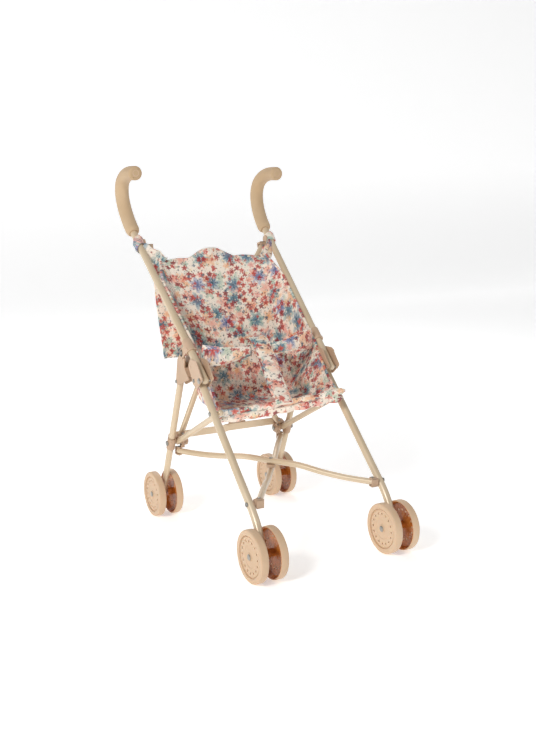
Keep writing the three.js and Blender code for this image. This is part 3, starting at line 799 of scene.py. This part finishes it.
def wheel_mesh():
    """One wheel round the X axis, hub side at -X, with its ring of holes cut through."""
    profile = [(0.0023, 0.0063), (0.0050, 0.0063), (0.0053, 0.0070), (0.0056, 0.0165),
               (0.0070, 0.0170), (0.0300, 0.0170), (0.0314, 0.0160), (0.0330, 0.0098),
               (0.0338, 0.0089), (0.0345, 0.0090), (0.0357, 0.0097), (0.0360, 0.0107),
               (0.0360, 0.0185), (0.0356, 0.0196), (0.0346, 0.0204), (0.0338, 0.0205),
               (0.0296, 0.0205), (0.0287, 0.0202), (0.0282, 0.0180), (0.0276, 0.0178),
               (0.0270, 0.0180), (0.0266, 0.0190), (0.0256, 0.0192), (0.0148, 0.0190),
               (0.0144, 0.0186),
               (0.0074, 0.0186), (0.0060, 0.0189), (0.0055, 0.0197), (0.0046, 0.0198),
               (0.0023, 0.0198)]
    # The hollow side and the bore take the second material, whose amber-brown is painted shade and
    # painted light through the wall.
    hollow = 9
    numbers = [1] * hollow + [0] * (len(profile) - hollow - 1) + [1]
    shell = Shell()
    shell.lathe(profile, Vector((-0.0147, 0, 0)), Vector((1, 0, 0)), 72, numbers)
    wheel = shell.build("wheel_pattern", [finish_of("wheel"), finish_of("hollow")], 0)
    cutter = Shell()
    holes, ring, hole_r = 16, 0.0216, 0.0016
    for a in (2 * math.pi * k / holes for k in range(holes)):
        spot = Vector((0, math.cos(a) * ring, math.sin(a) * ring))
        cutter.rod(spot + Vector((-0.005, 0, 0)), spot + Vector((0.02, 0, 0)), hole_r, 0, 16)
    drill = cutter.build("wheel_drill", [finish_of("wheel"), finish_of("hollow")], 0)
    cut = wheel.modifiers.new("holes", "BOOLEAN")
    cut.object = drill
    cut.solver = "EXACT"
    bpy.context.view_layer.update()
    graph = bpy.context.evaluated_depsgraph_get()
    mesh = bpy.data.meshes.new_from_object(wheel.evaluated_get(graph))
    mesh.name = "wheel"
    bpy.data.objects.remove(wheel)
    bpy.data.objects.remove(drill)
    sharp_by_angle(mesh, 40)
    return mesh


class STROLLER_OT_wheels(bpy.types.Operator):
    """Wheels with a ring of small holes, each on its own axle place"""
    bl_idname = "stroller.wheels"
    bl_label = "Wheels"

    def execute(self, context):
        pattern = wheel_mesh()
        for s, side in SIDES:
            for end in ("front", "rear"):
                for rank, k in (("outer", s), ("inner", -s)):
                    node = f"{side}_{end}_wheel_{rank}"
                    low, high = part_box(node)
                    p = FRONT_AXLE if end == "front" else REAR_AXLE
                    item = bpy.data.objects.new(f"{node}_moulding", pattern.copy())
                    turn = Matrix.Rotation(0 if k > 0 else math.pi, 4, "Z")
                    clock = Matrix.Rotation(0.37 * (s + 2 * k) + (0.9 if end == "rear" else 0),
                                            4, "X")
                    middle = at(s * X + k * 14.7, p)
                    item.data.transform(Matrix.Translation(middle) @ turn @ clock)
                    if abs((low + high).z / 2 - middle.z) > 0.002:
                        raise RuntimeError(f"{node} is not where its axle is")
                    context.scene.collection.objects.link(item)
                    place(item, f"{node}_body", "wheel_plastic", node)
        return {"FINISHED"}


class STROLLER_OT_brackets(bpy.types.Operator):
    """Moulded brackets, sleeves and rear connectors with their rivets"""
    bl_idname = "stroller.brackets"
    bl_label = "Brackets and sleeves"

    def execute(self, context):
        both = [finish_of("plastic"), finish_of("steel")]
        for s, side in SIDES:
            handle = "frame" if s < 0 else "right_handle"
            for maker, node, body, bevel in (
                    (self.sleeve, "sleeve", handle, 0.0003),
                    (self.front_bracket, "front_bracket", f"{side}_front_leg_body", 0.0004),
                    (self.rear_bracket, "rear_bracket", f"{side}_rear_leg_body", 0.0004),
                    (self.connector, "rear_connector", f"{side}_rear_leg_body", 0.0004)):
                shell = Shell()
                maker(shell, s, Vector((s, 0, 0)))
                item = shell.build(f"{side}_{node}_moulding", both, bevel)
                place(item, body, "moulded", f"{side}_{node}")
        return {"FINISHED"}

    def sleeve(self, shell, s, out):
        """Collar round the handle tube, with the lug of the rear pivot."""
        foot = at(s * handle_x(282.1), (79.3, 282.05))
        head = at(s * handle_x(297), (95.5, 297.0))
        profile = [(0.0058, 0.0), (0.0078, 0.0), (0.0082, 0.0005), (0.0082, 0.0030),
                   (0.0078, 0.0035), (0.0073, 0.0038), (0.0073, 0.0210), (0.0070, 0.0219),
                   (0.0058, 0.0220)]
        shell.lathe(profile, foot, (head - foot).normalized(), 40)
        shell.plate(LUG, s * (X + 8.2), s * (X + 10.4), 3.5)
        shell.rod(at(s * (X + 8.2), REAR_PIVOT), at(s * (X + 10.4), REAR_PIVOT), 0.0062, 0.0004)
        shell.rod(at(s * (X + 8.1), (90, 289.5)), at(s * (X + 10.9), (90, 289.5)), 0.0030, 0.0005)
        shell.number = 1
        shell.rod(at(s * (X - 8), REAR_PIVOT), at(s * (X + 11), REAR_PIVOT), BOLT_R)
        shell.dome(at(s * (X + 10.3), REAR_PIVOT), out, 0.0038, 0.0016)
        shell.dome(at(s * (X - 7.3), REAR_PIVOT), -out, 0.0040, 0.0015)

    def front_bracket(self, shell, s, out):
        """Two cheeks joined by a web under the handle tube, riveted through the front leg."""
        for pair in ((X - 8.8, X - 7), (X + 8.4, X + 10.2)):
            shell.plate(FRONT_PLATE, s * pair[0], s * pair[1], 3.2)
        d = unit(along((38, 243.8), (235, 425.7)))
        self.web(shell, move(FRONT_PIVOT, d, 7), move(FRONT_PIVOT, d, 33.5), d, -7.4, -5.9,
                 s * (X - 8.4), s * (X + 9.8))
        for spot in ((47.5, 268.5), (68.5, 262)):
            shell.rod(at(s * (X + 9.6), spot), at(s * (X + 10.7), spot), 0.0021, 0.0003)
        rivet = (59.2, 243)
        shell.number = 1
        shell.rod(at(s * (X - 9), rivet), at(s * (X + 10.4), rivet), RIVET_R)
        shell.dome(at(s * (X + 10.1), rivet), out, 0.0032, 0.0013)
        shell.dome(at(s * (X - 8.7), rivet), -out, 0.0032, 0.0012)

    def rear_bracket(self, shell, s, out):
        """Two cheeks with bosses on the rear pivot, joined by a web over the rear leg."""
        for low, high in ((s * (X - 6.8), s * (X - 5)), (s * (X + 5.9), s * (X + 7.7))):
            shell.plate(REAR_PLATE, low, high, 2.6)
            shell.rod(at(low, REAR_PIVOT), at(high, REAR_PIVOT), 0.0064, 0.0003)
        a, b = (86.5, 245.6), (98, 257.3)
        self.web(shell, a, b, unit(along(a, b)), -1.8, -0.1, s * (X - 6.6), s * (X + 7.5))
        rivet = (129.8, 232)
        shell.number = 1
        shell.rod(at(s * (X - 7), rivet), at(s * (X + 8), rivet), RIVET_R)
        shell.dome(at(s * (X + 7.6), rivet), out, 0.0030, 0.0012)
        shell.dome(at(s * (X - 6.7), rivet), -out, 0.0030, 0.0011)

    def web(self, shell, a, b, d, low, high, x0, x1):
        """A flat wall from a to b, between low and high on its left side."""
        aside = (-d[1], d[0])
        shell.plate([move(a, aside, low), move(b, aside, low), move(b, aside, high),
                     move(a, aside, high)], x0, x1, 0.3)

    def connector(self, shell, s, _out):
        """Collar on the rear leg, with the lug and the pin of the brace."""
        foot = at(s * X, move(BOLT, LEG_UP, -11))
        grow = (at(s * X, move(BOLT, LEG_UP, 9)) - foot).normalized()
        profile = [(0.0053, 0), (0.0062, 0), (0.0066, 0.0005), (0.0066, 0.0195),
                   (0.0062, 0.02), (0.0053, 0.02)]
        shell.lathe(profile, foot, grow, 36)
        shell.block(HINGE, LEG_BACK, LEG_UP, s * (X - 14.9), s * (X - 2), 6, 18.6, -6, 6)
        shell.block(HINGE, LEG_BACK, LEG_UP, s * (X - 5), s * (X + 2), 5.6, 8, -6, 6)
        shell.number = 1
        pin_x = s * (X - 11.4)
        tip = move(HINGE, LEG_BACK, 22.6)
        shell.rod(at(pin_x, move(HINGE, LEG_BACK, 16)), at(pin_x, tip), PIN_R)
        shell.dome(at(pin_x, tip), BACKWARD, 0.0034, 0.0014)


class STROLLER_OT_crosses(bpy.types.Operator):
    """Crossing tubes under and behind the seat, their clevises and rivets"""
    bl_idname = "stroller.crosses"
    bl_label = "Cross tubes"

    def execute(self, context):
        bar = context.scene.stroller_sizes.bar
        flat = math.dist(REAR_PIN, FRONT_BOLT)
        centre = move(REAR_PIN, FORWARD, flat / 2)
        meet = move(LOW_PIN, UPWARD, RISE)
        # Share of the lower tube's length, and share of its bow there.
        bends = [(0, 0), (0.12, 0), (0.24, 0.35), (0.36, 1), (0.5, 1), (0.64, 1), (0.76, 0.35),
                 (0.88, 0), (1, 0)]
        for s, side in SIDES:
            bow = BOW if s < 0 else -BOW
            points = [at(s * PIN_X * (1 - 2 * k), move(move(REAR_PIN, FORWARD, flat * k),
                                                       LIFT, h * bow)) for k, h in bends]
            self.cross_bar("lower_cross_tube_over" if s < 0 else "lower_cross_tube_under",
                           points, bar, LIFT, 6.8, centre, bow * 1.56,
                           ((s * PIN_X, REAR_PIN), (-s * PIN_X, FRONT_BOLT)))
            off = OFFSET if s < 0 else -OFFSET
            low, top = move(LOW_PIN, BACK, off), move(TOP_PIN, BACK, off)
            points = [at(s * UPPER_X, low), at(0, move(meet, BACK, off)), at(-s * TOP_X, top)]
            self.cross_bar("rear_cross_tube_back" if s < 0 else "rear_cross_tube_front",
                           points, bar, BACK, 6.5, meet, off * 1.9,
                           ((s * UPPER_X, low), (-s * TOP_X, top)))
            self.clevises(s, side)
        shell = Shell()
        shell.rod(at(0, move(centre, LIFT, -2.6)), at(0, move(centre, LIFT, 2.6)), 0.007, 0.0006)
        item = shell.build("lower_cross_spacer", [finish_of("plastic")], 0)
        place(item, "lower_cross_tube_over_body", "moulded", "lower_cross_pivot")
        return {"FINISHED"}

    def cross_bar(self, name, points, bar, d, half, meet, proud, ends):
        """A tube with a clevis pin at each end, and a rivet head where it crosses the other."""
        shell = Shell()
        shell.bar(curve(points, 0.006), bar, 22)
        shell.number = 1
        for x, p in ends:
            a, b = at(x, move(p, d, -half)), at(x, move(p, d, half))
            shell.rod(a, b, PIN_R)
            shell.dome(b, b - a, 0.0022, 0.001)
            shell.dome(a, a - b, 0.0022, 0.001)
        base = at(0, move(meet, d, proud))
        shell.dome(base, base - at(0, meet), 0.003, 0.0014)
        item = shell.build(f"{name}_bar", [finish_of("enamel"), finish_of("steel")], 0)
        place(item, f"{name}_body", "enamel", name)

    def clevises(self, s, side):
        """The four forks that hold this side's ends of the cross tubes."""
        near, far = 4.8, 6.2

        def fork(p, pin_x, ey, ez, off, hub_at, hub, wall):
            """Two ears on the pin at p, the bridge behind them and the hub on its bolt."""
            shell = Shell()
            o = move(p, ey, off)
            x = s * pin_x
            for k in (-1, 1):
                shell.rod(at(x, move(o, ey, near * k)), at(x, move(o, ey, far * k)), 0.0045, 0.0002)
                shell.block(o, ey, ez, s * wall[0], s * wall[1], min(near * k, far * k),
                            max(near * k, far * k), min(0, wall[2]), max(0, wall[2]), 0.3)
            shell.block(o, ey, ez, s * wall[0], s * wall[1], -far, far, min(wall[2:]),
                        max(wall[2:]), 0.6)
            shell.rod(at(s * hub[0], hub_at), at(s * hub[1], hub_at), 0.0063, 0.0004)
            return shell

        off = OFFSET if s < 0 else -OFFSET
        hub = (X - 21.1, X - 15.9)
        shell = fork(REAR_PIN, PIN_X, LIFT, REARWARD, 0, BOLT, hub,
                     (PIN_X - 4.5, PIN_X + 4.5, 6.6, 4.9))
        shell.block(REAR_PIN, LIFT, REARWARD, s * hub[0], s * hub[1], 5.4, 11, -4, 4, 0.8)
        pieces = [(shell, f"{side}_lower_rear_clevis", f"{side}_lower_clevis_body")]
        shell = fork(LOW_PIN, UPPER_X, BACK, UPWARD, off, BOLT, (X - 26.4, X - 21.3),
                     (UPPER_X - 4.5, UPPER_X - 0.9, -9, -4.9))
        pieces.append((shell, f"{side}_upper_rear_clevis", f"{side}_upper_clevis_body"))
        shell = fork(FRONT_BOLT, PIN_X, LIFT, FORWARD, 0, FRONT_BOLT, (X - 8.7, X - 7.1),
                     (PIN_X - 4.5, X - 7.1, 6.6, 4.9))
        pieces.append((shell, f"{side}_lower_front_clevis", f"{side}_front_clevis_body"))
        shell = fork(TOP_PIN, TOP_X, BACK, UPWARD, -off, TOP, (TOP_X + 4.9, TOP_X + 7.6),
                     (TOP_X - 4.5, TOP_X + 7.6, 8, 4.9))
        pieces.append((shell, f"{side}_upper_top_clevis", f"{side}_top_clevis_body"))
        for shell, node, body in pieces:
            item = shell.build(f"{node}_moulding", [finish_of("plastic")], 0.0003)
            place(item, body, "moulded", node)


class STROLLER_OT_brace(bpy.types.Operator):
    """Flat folding brace behind the rear legs, with its lock housing"""
    bl_idname = "stroller.brace"
    bl_label = "Rear brace"

    def execute(self, context):
        for s, side in SIDES:
            low = 19.0 if s < 0 else 20.8
            shell = Shell()
            outline = []
            for middle, turn in ((11.4 - X, math.pi / 2), (0, -math.pi / 2)):
                for a in (turn + math.pi * k / 12 for k in range(13)):
                    outline.append((middle + 7 * math.cos(a), 7 * math.sin(a)))
            rings = []
            for depth, inset in ((low, 0.3), (low + 0.3, 0), (low + 1.1, 0), (low + 1.4, 0.3)):
                ring = []
                for u, w in outline:
                    w = w * (1 - inset / 7)
                    p = move(move(HINGE, LEG_BACK, depth), LEG_UP, w)
                    ring.append(at(-s * u, p))
                rings.append(ring)
            shell.rings(rings)
            shell.number = 1
            if s > 0:
                shell.dome(at(0, move(HINGE, LEG_BACK, low + 1.4)), BACKWARD, 0.0036, 0.0013)
            item = shell.build(f"{side}_brace_bar", [finish_of("enamel"), finish_of("steel")], 0)
            place(item, f"{side}_brace_body", "enamel", f"{side}_brace_arm")
        shell = Shell()
        shell.block(HINGE, LEG_BACK, LEG_UP, 5.5, 36, 22.5, 25, -8.2, 8.2, 1.2)
        shell.block(HINGE, LEG_BACK, LEG_UP, 9, 33, 24.8, 25.6, -3.2, 3.2, 0.3)
        item = shell.build("brace_lock_moulding", [finish_of("plastic")], 0.0007)
        place(item, "right_brace_body", "moulded", "brace_lock_housing")
        return {"FINISHED"}


# ---------------------------------------------------------------- sewn pieces
def cloth_grid(name, rows, thickness):
    """A sheet skinned on rows of points, with a thickness and UVs in metres.
    The print is laid out from the middle column, so that it doesn't shear on the wings."""
    bm = bmesh.new()
    layer = bm.loops.layers.uv.new("cloth")
    made = [[bm.verts.new(p) for p in row] for row in rows]
    tall, wide = len(rows), len(rows[0])
    middle = wide // 2
    spot = [[(0.0, 0.0)] * wide for _ in range(tall)]
    travel = 0.0
    for i, row in enumerate(rows):
        if i:
            travel += (row[middle] - rows[i - 1][middle]).length
        spot[i][middle] = (0.0, travel)
        for order, sign in ((range(middle + 1, wide), 1), (range(middle - 1, -1, -1), -1)):
            for j in order:
                down = (rows[min(i + 1, tall - 1)][j] - rows[max(i - 1, 0)][j]).normalized()
                step = row[j] - row[j - sign]
                slip = step.dot(down)
                u, v = spot[i][j - sign]
                spot[i][j] = (u + sign * (step - down * slip).length, v + slip)
    for i in range(tall - 1):
        for j in range(wide - 1):
            face = bm.faces.new((made[i][j], made[i][j + 1], made[i + 1][j + 1], made[i + 1][j]))
            face.smooth = True
            for loop, (a, b) in zip(face.loops, ((i, j), (i, j + 1), (i + 1, j + 1), (i + 1, j))):
                loop[layer].uv = spot[a][b]
    item = to_object(bm, name, [finish_of("cloth")])
    thick = item.modifiers.new("thickness", "SOLIDIFY")
    thick.thickness = thickness
    thick.offset = 0
    apply_modifiers(item)
    return item


def apply_modifiers(item):
    """Leave the evaluated mesh on the object, with no modifiers."""
    bpy.context.view_layer.update()
    graph = bpy.context.evaluated_depsgraph_get()
    mesh = bpy.data.meshes.new_from_object(item.evaluated_get(graph))
    item.modifiers.clear()
    item.data = mesh


def sewn(item):
    """Give the cloth piece its own copy of its mesh."""
    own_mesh(item)


def lay_print(item, spot):
    """Give each corner its place on the printed cloth; spot works it out from the point."""
    layer = item.data.uv_layers.new(name="cloth")
    for loop in item.data.loops:
        layer.data[loop.index].uv = spot(item.data.vertices[loop.vertex_index].co)


def ripple(point, seed, scale=28.0):
    """Smooth seeded noise from -1 to 1."""
    return noise.noise(Vector(point) * scale + Vector((seed * 7.3, seed * 3.1, seed * 1.7)))


def route(points, t):
    """A point at share t of a polyline's length."""
    spans = [math.dist(a, b) for a, b in zip(points, points[1:])]
    want = t * sum(spans)
    for a, b, span in zip(points, points[1:], spans):
        if want <= span or (a, b) == (points[-2], points[-1]):
            return lerp(a, b, min(1.0, want / span))
        want -= span
    return points[-1]


def soft_path(points, count):
    """The side-view line through the points, at count evenly spaced places."""
    path = curve([Vector((0, p[0], p[1])) for p in points], 2.0)
    flat = [(v.y, v.z) for v in path]
    return [route(flat, k / (count - 1)) for k in range(count)]


class STROLLER_OT_seat(bpy.types.Operator):
    """Sewn sling: scalloped back, side wings, seat and padded front roll"""
    bl_idname = "stroller.seat"
    bl_label = "Seat sling"

    def execute(self, context):
        depth = context.scene.stroller_sizes.wrinkle
        floor_line = soft_path([(221, 417), (196, 361), (166, 294), (140, 236), (127, 208),
                                (116, 197.5), (95, 194.5), (60, 195.5), (30, 198), (9, 200)], 96)
        edge_line = soft_path([(229, 421), (190, 386), (150, 349), (110, 312), (82, 285.5),
                               (66, 266), (48, 243), (30, 222), (11, 207)], 96)
        count = 121
        rows = [[self.spot(2 * j / (count - 1) - 1, i / 95, c, e, depth) for j in range(count)]
                for i, (c, e) in enumerate(zip(floor_line, edge_line))]
        item = cloth_grid("seat_sling_cloth", rows, 0.0024)
        place(item, "frame", "printed_cloth", "seat_sling")
        sewn(item)
        self.roll("seat_front_roll", 7.6, 207.0, 4.2, 4.8, 97, 5)
        self.roll("seat_front_hem", 7.0, 197.4, 4.6, 5.4, 93, 6)
        self.binding(rows)
        return {"FINISHED"}

    def spot(self, u, v, c, e, depth):
        """The sling's point at u from side to side (-1 to 1) and v from top to front (0 to 1).
        c and e are the side-view places of its middle and of its edge on the tube."""
        a = abs(u)
        s = 1 if u >= 0 else -1
        edge_x = handle_x(e[1]) - 8.2 - 15 * (1 - smooth(v / 0.22)) \
            - 8 * smooth((v - 0.66) / 0.25)
        bottom_x = 82 - 3 * smooth((v - 0.2) / 0.4)
        # The share of the half width at which the cloth turns up into its wing.
        corner = 0.56 + 0.30 * (1 - smooth(v / 0.5))
        first = (edge_x - bottom_x, e[0] - c[0], e[1] - c[1])
        if a < corner:
            t = a / corner
            sag = 4.5 * (1 - t * t) * (0.35 + smooth((v - 0.55) / 0.3) * 0.5)
            rise = smooth((t - 0.72) / 0.28)
            x = bottom_x * t + first[0] * rise * 0.05
            y = c[0] + sag * (1 - smooth((v - 0.5) / 0.2)) * 0.9 + first[1] * rise * 0.06
            z = c[1] - sag * smooth((v - 0.5) / 0.2) + first[2] * rise * 0.06
        else:
            t = (a - corner) / (1 - corner)
            bend = smooth(t) * 0.35 + t * 0.65
            base = (bottom_x + first[0] * 0.05, c[0] + first[1] * 0.06, c[1] + first[2] * 0.06)
            x = base[0] + (edge_x - base[0]) * bend
            y = base[1] + (e[0] - base[1]) * t
            z = base[2] + (e[1] - base[2]) * t
        if v < 0.05:
            # The top edge: one broad arch between small scallops.
            arch = 0.5 + 0.5 * math.cos(math.pi * min(1, abs(u + 0.07) / 0.46))
            scallop = -4 + 14 * arch + 1.8 * abs(math.sin(u * 7 + 0.4)) - 5 * u * u
            fade = 1 - v / 0.05
            z += scallop * fade * (1 - smooth((a - 0.93) / 0.07))
            y += 2.0 * fade * math.sin(u * 17)
        # The front edge hangs a little lower and further back on the left.
        skew = smooth((v - 0.62) / 0.38)
        point = at(s * x, y - 19 * u * skew, z + 7 * u * skew)
        amount = depth * (1 - 0.6 * smooth((a - 0.93) / 0.07))
        point.y += ripple(point, 1, 24) * amount
        point.z += ripple(point, 2, 24) * amount * 0.8
        point.x += ripple(point, 3, 30) * amount * 0.5 * smooth((a - 0.5) / 0.2)
        # Puckers along the seam where the back meets the seat.
        tuck = math.exp(-((v - 0.575) / 0.035) ** 2)
        point.y += 0.0016 * tuck * math.sin(u * 31 + 2 * math.sin(u * 9))
        return point

    def roll(self, name, y0, z0, ry, rz, half, seed):
        """One padded roll of the hem that wraps the front of the seat."""
        rows = []
        around = 18
        for i in range(around + 1):
            a = 2 * math.pi * i / around
            row = []
            for j in range(81):
                u = 2 * j / 80 - 1
                swell = 1 + 0.14 * math.sin(u * 23 + seed) + 0.2 * ripple((u, 0, 0), seed, 9)
                swell *= 1 - 0.55 * smooth((abs(u) - 0.93) / 0.07)
                lift = 1.0 * abs(u) ** 3 + 9 * u - 1.6 * (1 - u * u) + 1.4 * ripple((u, 1, 0), 4, 5)
                y = y0 - 19 * u + ry * swell * math.cos(a)
                z = z0 + lift + rz * swell * math.sin(a)
                row.append(at(u * half, y, z))
            rows.append(row)
        shell = bmesh.new()
        layer = shell.loops.layers.uv.new("cloth")
        made = [[shell.verts.new(p) for p in row] for row in rows[:-1]]
        for i in range(around):
            k = (i + 1) % around
            for j in range(80):
                face = shell.faces.new((made[i][j], made[i][j + 1], made[k][j + 1], made[k][j]))
                face.smooth = True
                for loop, (p, q) in zip(face.loops, ((i, j), (i, j + 1), (i + 1, j + 1),
                                                     (i + 1, j))):
                    loop[layer].uv = (0.4 + q * 0.0022, 0.3 + p * 0.0018 + seed * 0.05)
        for j, flip in ((0, False), (80, True)):
            ring = [made[i][j] for i in range(around)]
            face = shell.faces.new(ring if flip else list(reversed(ring)))
            face.smooth = True
        item = to_object(shell, name, [finish_of("cloth")])
        place(item, "frame", "printed_cloth")
        sewn(item)

    def binding(self, rows):
        """Narrow bound edge along both sides of the sling."""
        for index, side in ((0, "left"), (-1, "right")):
            line = [row[index] for row in rows[::2]]
            shell = Shell()
            shell.tube(line, 0.0021, 12)
            item = shell.build(f"{side}_sling_binding", [finish_of("cloth")], 0)
            lay_print(item, lambda co: (co.y + 0.2, co.z + co.x * 0.05))
            place(item, "frame", "printed_cloth")
            sewn(item)


class STROLLER_OT_pocket(bpy.types.Operator):
    """Cloth panel that hangs behind the rear cross tubes"""
    bl_idname = "stroller.pocket"
    bl_label = "Rear pocket"

    def execute(self, context):
        rows = []
        for i in range(61):
            v = i / 60
            row = []
            for j in range(91):
                u = 2 * j / 90 - 1
                y, z = lerp((259, 407), (225, 253.5), v)
                belly = 5.0 * math.sin(math.pi * min(1, v * 1.05)) * (1 - u * u * 0.5)
                point = at(u * (92 + 2 * math.sin(v * 3)), y - belly * 0.2, z)
                point.y += 0.0016 * ripple(point, 8, 20) + 0.0009 * math.sin(u * 24 + v * 4) * v
                point.z += 0.0012 * ripple(point, 9, 18)
                row.append(point)
            rows.append(row)
        item = cloth_grid("rear_pocket_cloth", rows, 0.0022)
        place(item, "frame", "printed_cloth", "rear_pocket")
        sewn(item)
        return {"FINISHED"}


def strap(name, line, width_dir, width, thick, seed=0, across=14):
    """A padded strap: a flat oval skinned along a line of (point, width share)."""
    bm = bmesh.new()
    layer = bm.loops.layers.uv.new("cloth")
    rings = []
    count = len(line)
    for i, (p, share) in enumerate(line):
        before, after = line[max(i - 1, 0)][0], line[min(i + 1, count - 1)][0]
        tangent = (after - before).normalized()
        wide = (width_dir - tangent * width_dir.dot(tangent)).normalized()
        normal = tangent.cross(wide)
        ring = []
        for k in range(across * 2):
            a = 2 * math.pi * k / (across * 2)
            c, d = math.cos(a), math.sin(a)
            flat_x = math.copysign(abs(c) ** 0.55, c) * width / 2 * share
            flat_z = math.copysign(abs(d) ** 0.8, d) * thick / 2
            flat_z *= 1 + 0.25 * ripple((i * 0.03, k * 0.05, seed), seed, 5)
            stitched = 1 - 0.45 * math.exp(-((abs(c) ** 0.55 - 0.8) / 0.06) ** 2)
            ring.append(p + wide * flat_x + normal * flat_z * stitched)
        rings.append([bm.verts.new(q) for q in ring])
    travel = 0.0
    size = across * 2
    for i in range(count - 1):
        step = (line[i + 1][0] - line[i][0]).length
        for k in range(size):
            j = (k + 1) % size
            face = bm.faces.new((rings[i][k], rings[i][j], rings[i + 1][j], rings[i + 1][k]))
            face.smooth = True
            for loop, (q, r) in zip(face.loops, ((k, 0), (k + 1, 0), (k + 1, 1), (k, 1))):
                loop[layer].uv = (0.13 * seed + math.cos(2 * math.pi * q / size) * width / 2
                                  + (0.05 if q > across else 0), travel + r * step + 0.07 * seed)
        travel += step
    bm.faces.new(list(reversed(rings[0])))
    bm.faces.new(rings[-1])
    return to_object(bm, name, [finish_of("cloth")])


class STROLLER_OT_belts(bpy.types.Operator):
    """Padded lap belts and crotch strap"""
    bl_idname = "stroller.belts"
    bl_label = "Belts"

    def execute(self, context):
        up = Vector((0, 0, 1))
        for s, side in SIDES:
            rise = 0 if s < 0 else 11
            points = [at(s * 94, 78, 276 + rise), at(s * 76, 70, 274 + rise),
                      at(s * 54, 67, 274 + rise * 0.6), at(s * 34, 67, 276 + rise * 0.3),
                      at(s * 17, 69, 278)]
            path = curve(points, 0.004)
            line = [(p, 1.0 - 0.48 * smooth(k / (len(path) - 1))) for k, p in enumerate(path)]
            item = strap(f"lap_belt_{side}_pad", line, up, 0.032, 0.0056, 1 if s < 0 else 2)
            place(item, "frame", "printed_cloth", f"lap_belt_{side}")
            sewn(item)
        points = [at(0, 88, 295), at(0, 72, 292), at(0, 49, 267), at(0, 28, 238), at(0, 4, 212),
                  at(0, -1, 206)]
        line = [(p, 1.0) for p in curve(points, 0.004)]
        item = strap("crotch_strap_pad", line, Vector((1, 0, 0)), 0.029, 0.0066, 3)
        place(item, "frame", "printed_cloth", "crotch_strap")
        sewn(item)
        return {"FINISHED"}


class STROLLER_OT_loops(bpy.types.Operator):
    """Cloth loops that tie the top of the seat to the handle tubes"""
    bl_idname = "stroller.loops"
    bl_label = "Top loops"

    def execute(self, context):
        for s, side in SIDES:
            body = "frame" if s < 0 else "right_handle"
            d = (at(s * handle_x(440), (250.5, 440)) - at(s * handle_x(425.7), (235, 425.7)))
            d.normalize()
            centre = at(s * handle_x(436), (246.2, 436))
            shell = Shell()
            side_a = d.orthogonal().normalized()
            side_b = d.cross(side_a)
            rings = []
            for k in range(40):
                a = 2 * math.pi * k / 40
                spoke = side_a * math.cos(a) + side_b * math.sin(a)
                crease = 0.0005 * math.sin(a * 5)
                profile = [(0.0061, -0.0085), (0.0078 + crease, -0.0095), (0.0092 - crease, -0.005),
                           (0.0084 + crease, 0.0), (0.0094, 0.005), (0.0079 - crease, 0.0092),
                           (0.0061, 0.0085)]
                slant = 0.004 * math.cos(a)
                rings.append([centre + spoke * r + d * (h + slant) for r, h in profile])
            shell.rings(rings, closed=True)
            item = shell.build(f"{side}_top_loop", [finish_of("cloth")], 0)
            lay_print(item, lambda co: (co.x + co.y, co.z - co.y * 0.4))
            place(item, body, "printed_cloth")

            start = at(s * (handle_x(433) - 3), (236.5, 433))
            for rank, end, sag in (("upper", at(s * 86, 217, 410), 0.002),
                                   ("lower", at(s * 93, 213, 400), -0.003)):
                points = [start, start.lerp(end, 0.5) + Vector((0, 0, sag)), end]
                line = [(p, 1.0 + 0.3 * math.sin(k)) for k, p in enumerate(curve(points, 0.003))]
                tie = strap(f"{side}_{rank}_tie", line, Vector((0, 0.4, 1)), 0.0105, 0.0034, 5 + s)
                place(tie, "frame", "printed_cloth")
                sewn(tie)
        return {"FINISHED"}


OPERATORS = (STROLLER_OT_stage, STROLLER_OT_handles, STROLLER_OT_legs, STROLLER_OT_wheels,
             STROLLER_OT_brackets, STROLLER_OT_crosses, STROLLER_OT_brace, STROLLER_OT_seat,
             STROLLER_OT_pocket, STROLLER_OT_belts, STROLLER_OT_loops)


class STROLLER_PT_panel(bpy.types.Panel):
    bl_idname = "STROLLER_PT_panel"
    bl_label = "Doll stroller"
    bl_space_type = "VIEW_3D"
    bl_region_type = "UI"
    bl_category = "Doll stroller"

    def draw(self, context):
        layout = self.layout
        for group in (context.scene.stroller_sizes, context.scene.stroller_colours):
            column = layout.column(align=True)
            for key in group.__annotations__:
                column.prop(group, key)
        for operator in OPERATORS:
            layout.operator(operator.bl_idname)


CLASSES = (StrollerColours, StrollerSizes) + OPERATORS + (STROLLER_PT_panel,)


def register():
    for item in CLASSES:
        bpy.utils.register_class(item)
    bpy.types.Scene.stroller_colours = bpy.props.PointerProperty(type=StrollerColours)
    bpy.types.Scene.stroller_sizes = bpy.props.PointerProperty(type=StrollerSizes)


def unregister():
    del bpy.types.Scene.stroller_sizes
    del bpy.types.Scene.stroller_colours
    for item in reversed(CLASSES):
        bpy.utils.unregister_class(item)


def main():
    register()
    for operator in OPERATORS:
        group, name = operator.bl_idname.split(".")
        getattr(getattr(bpy.ops, group), name)()


if __name__ == "__main__":
    main()
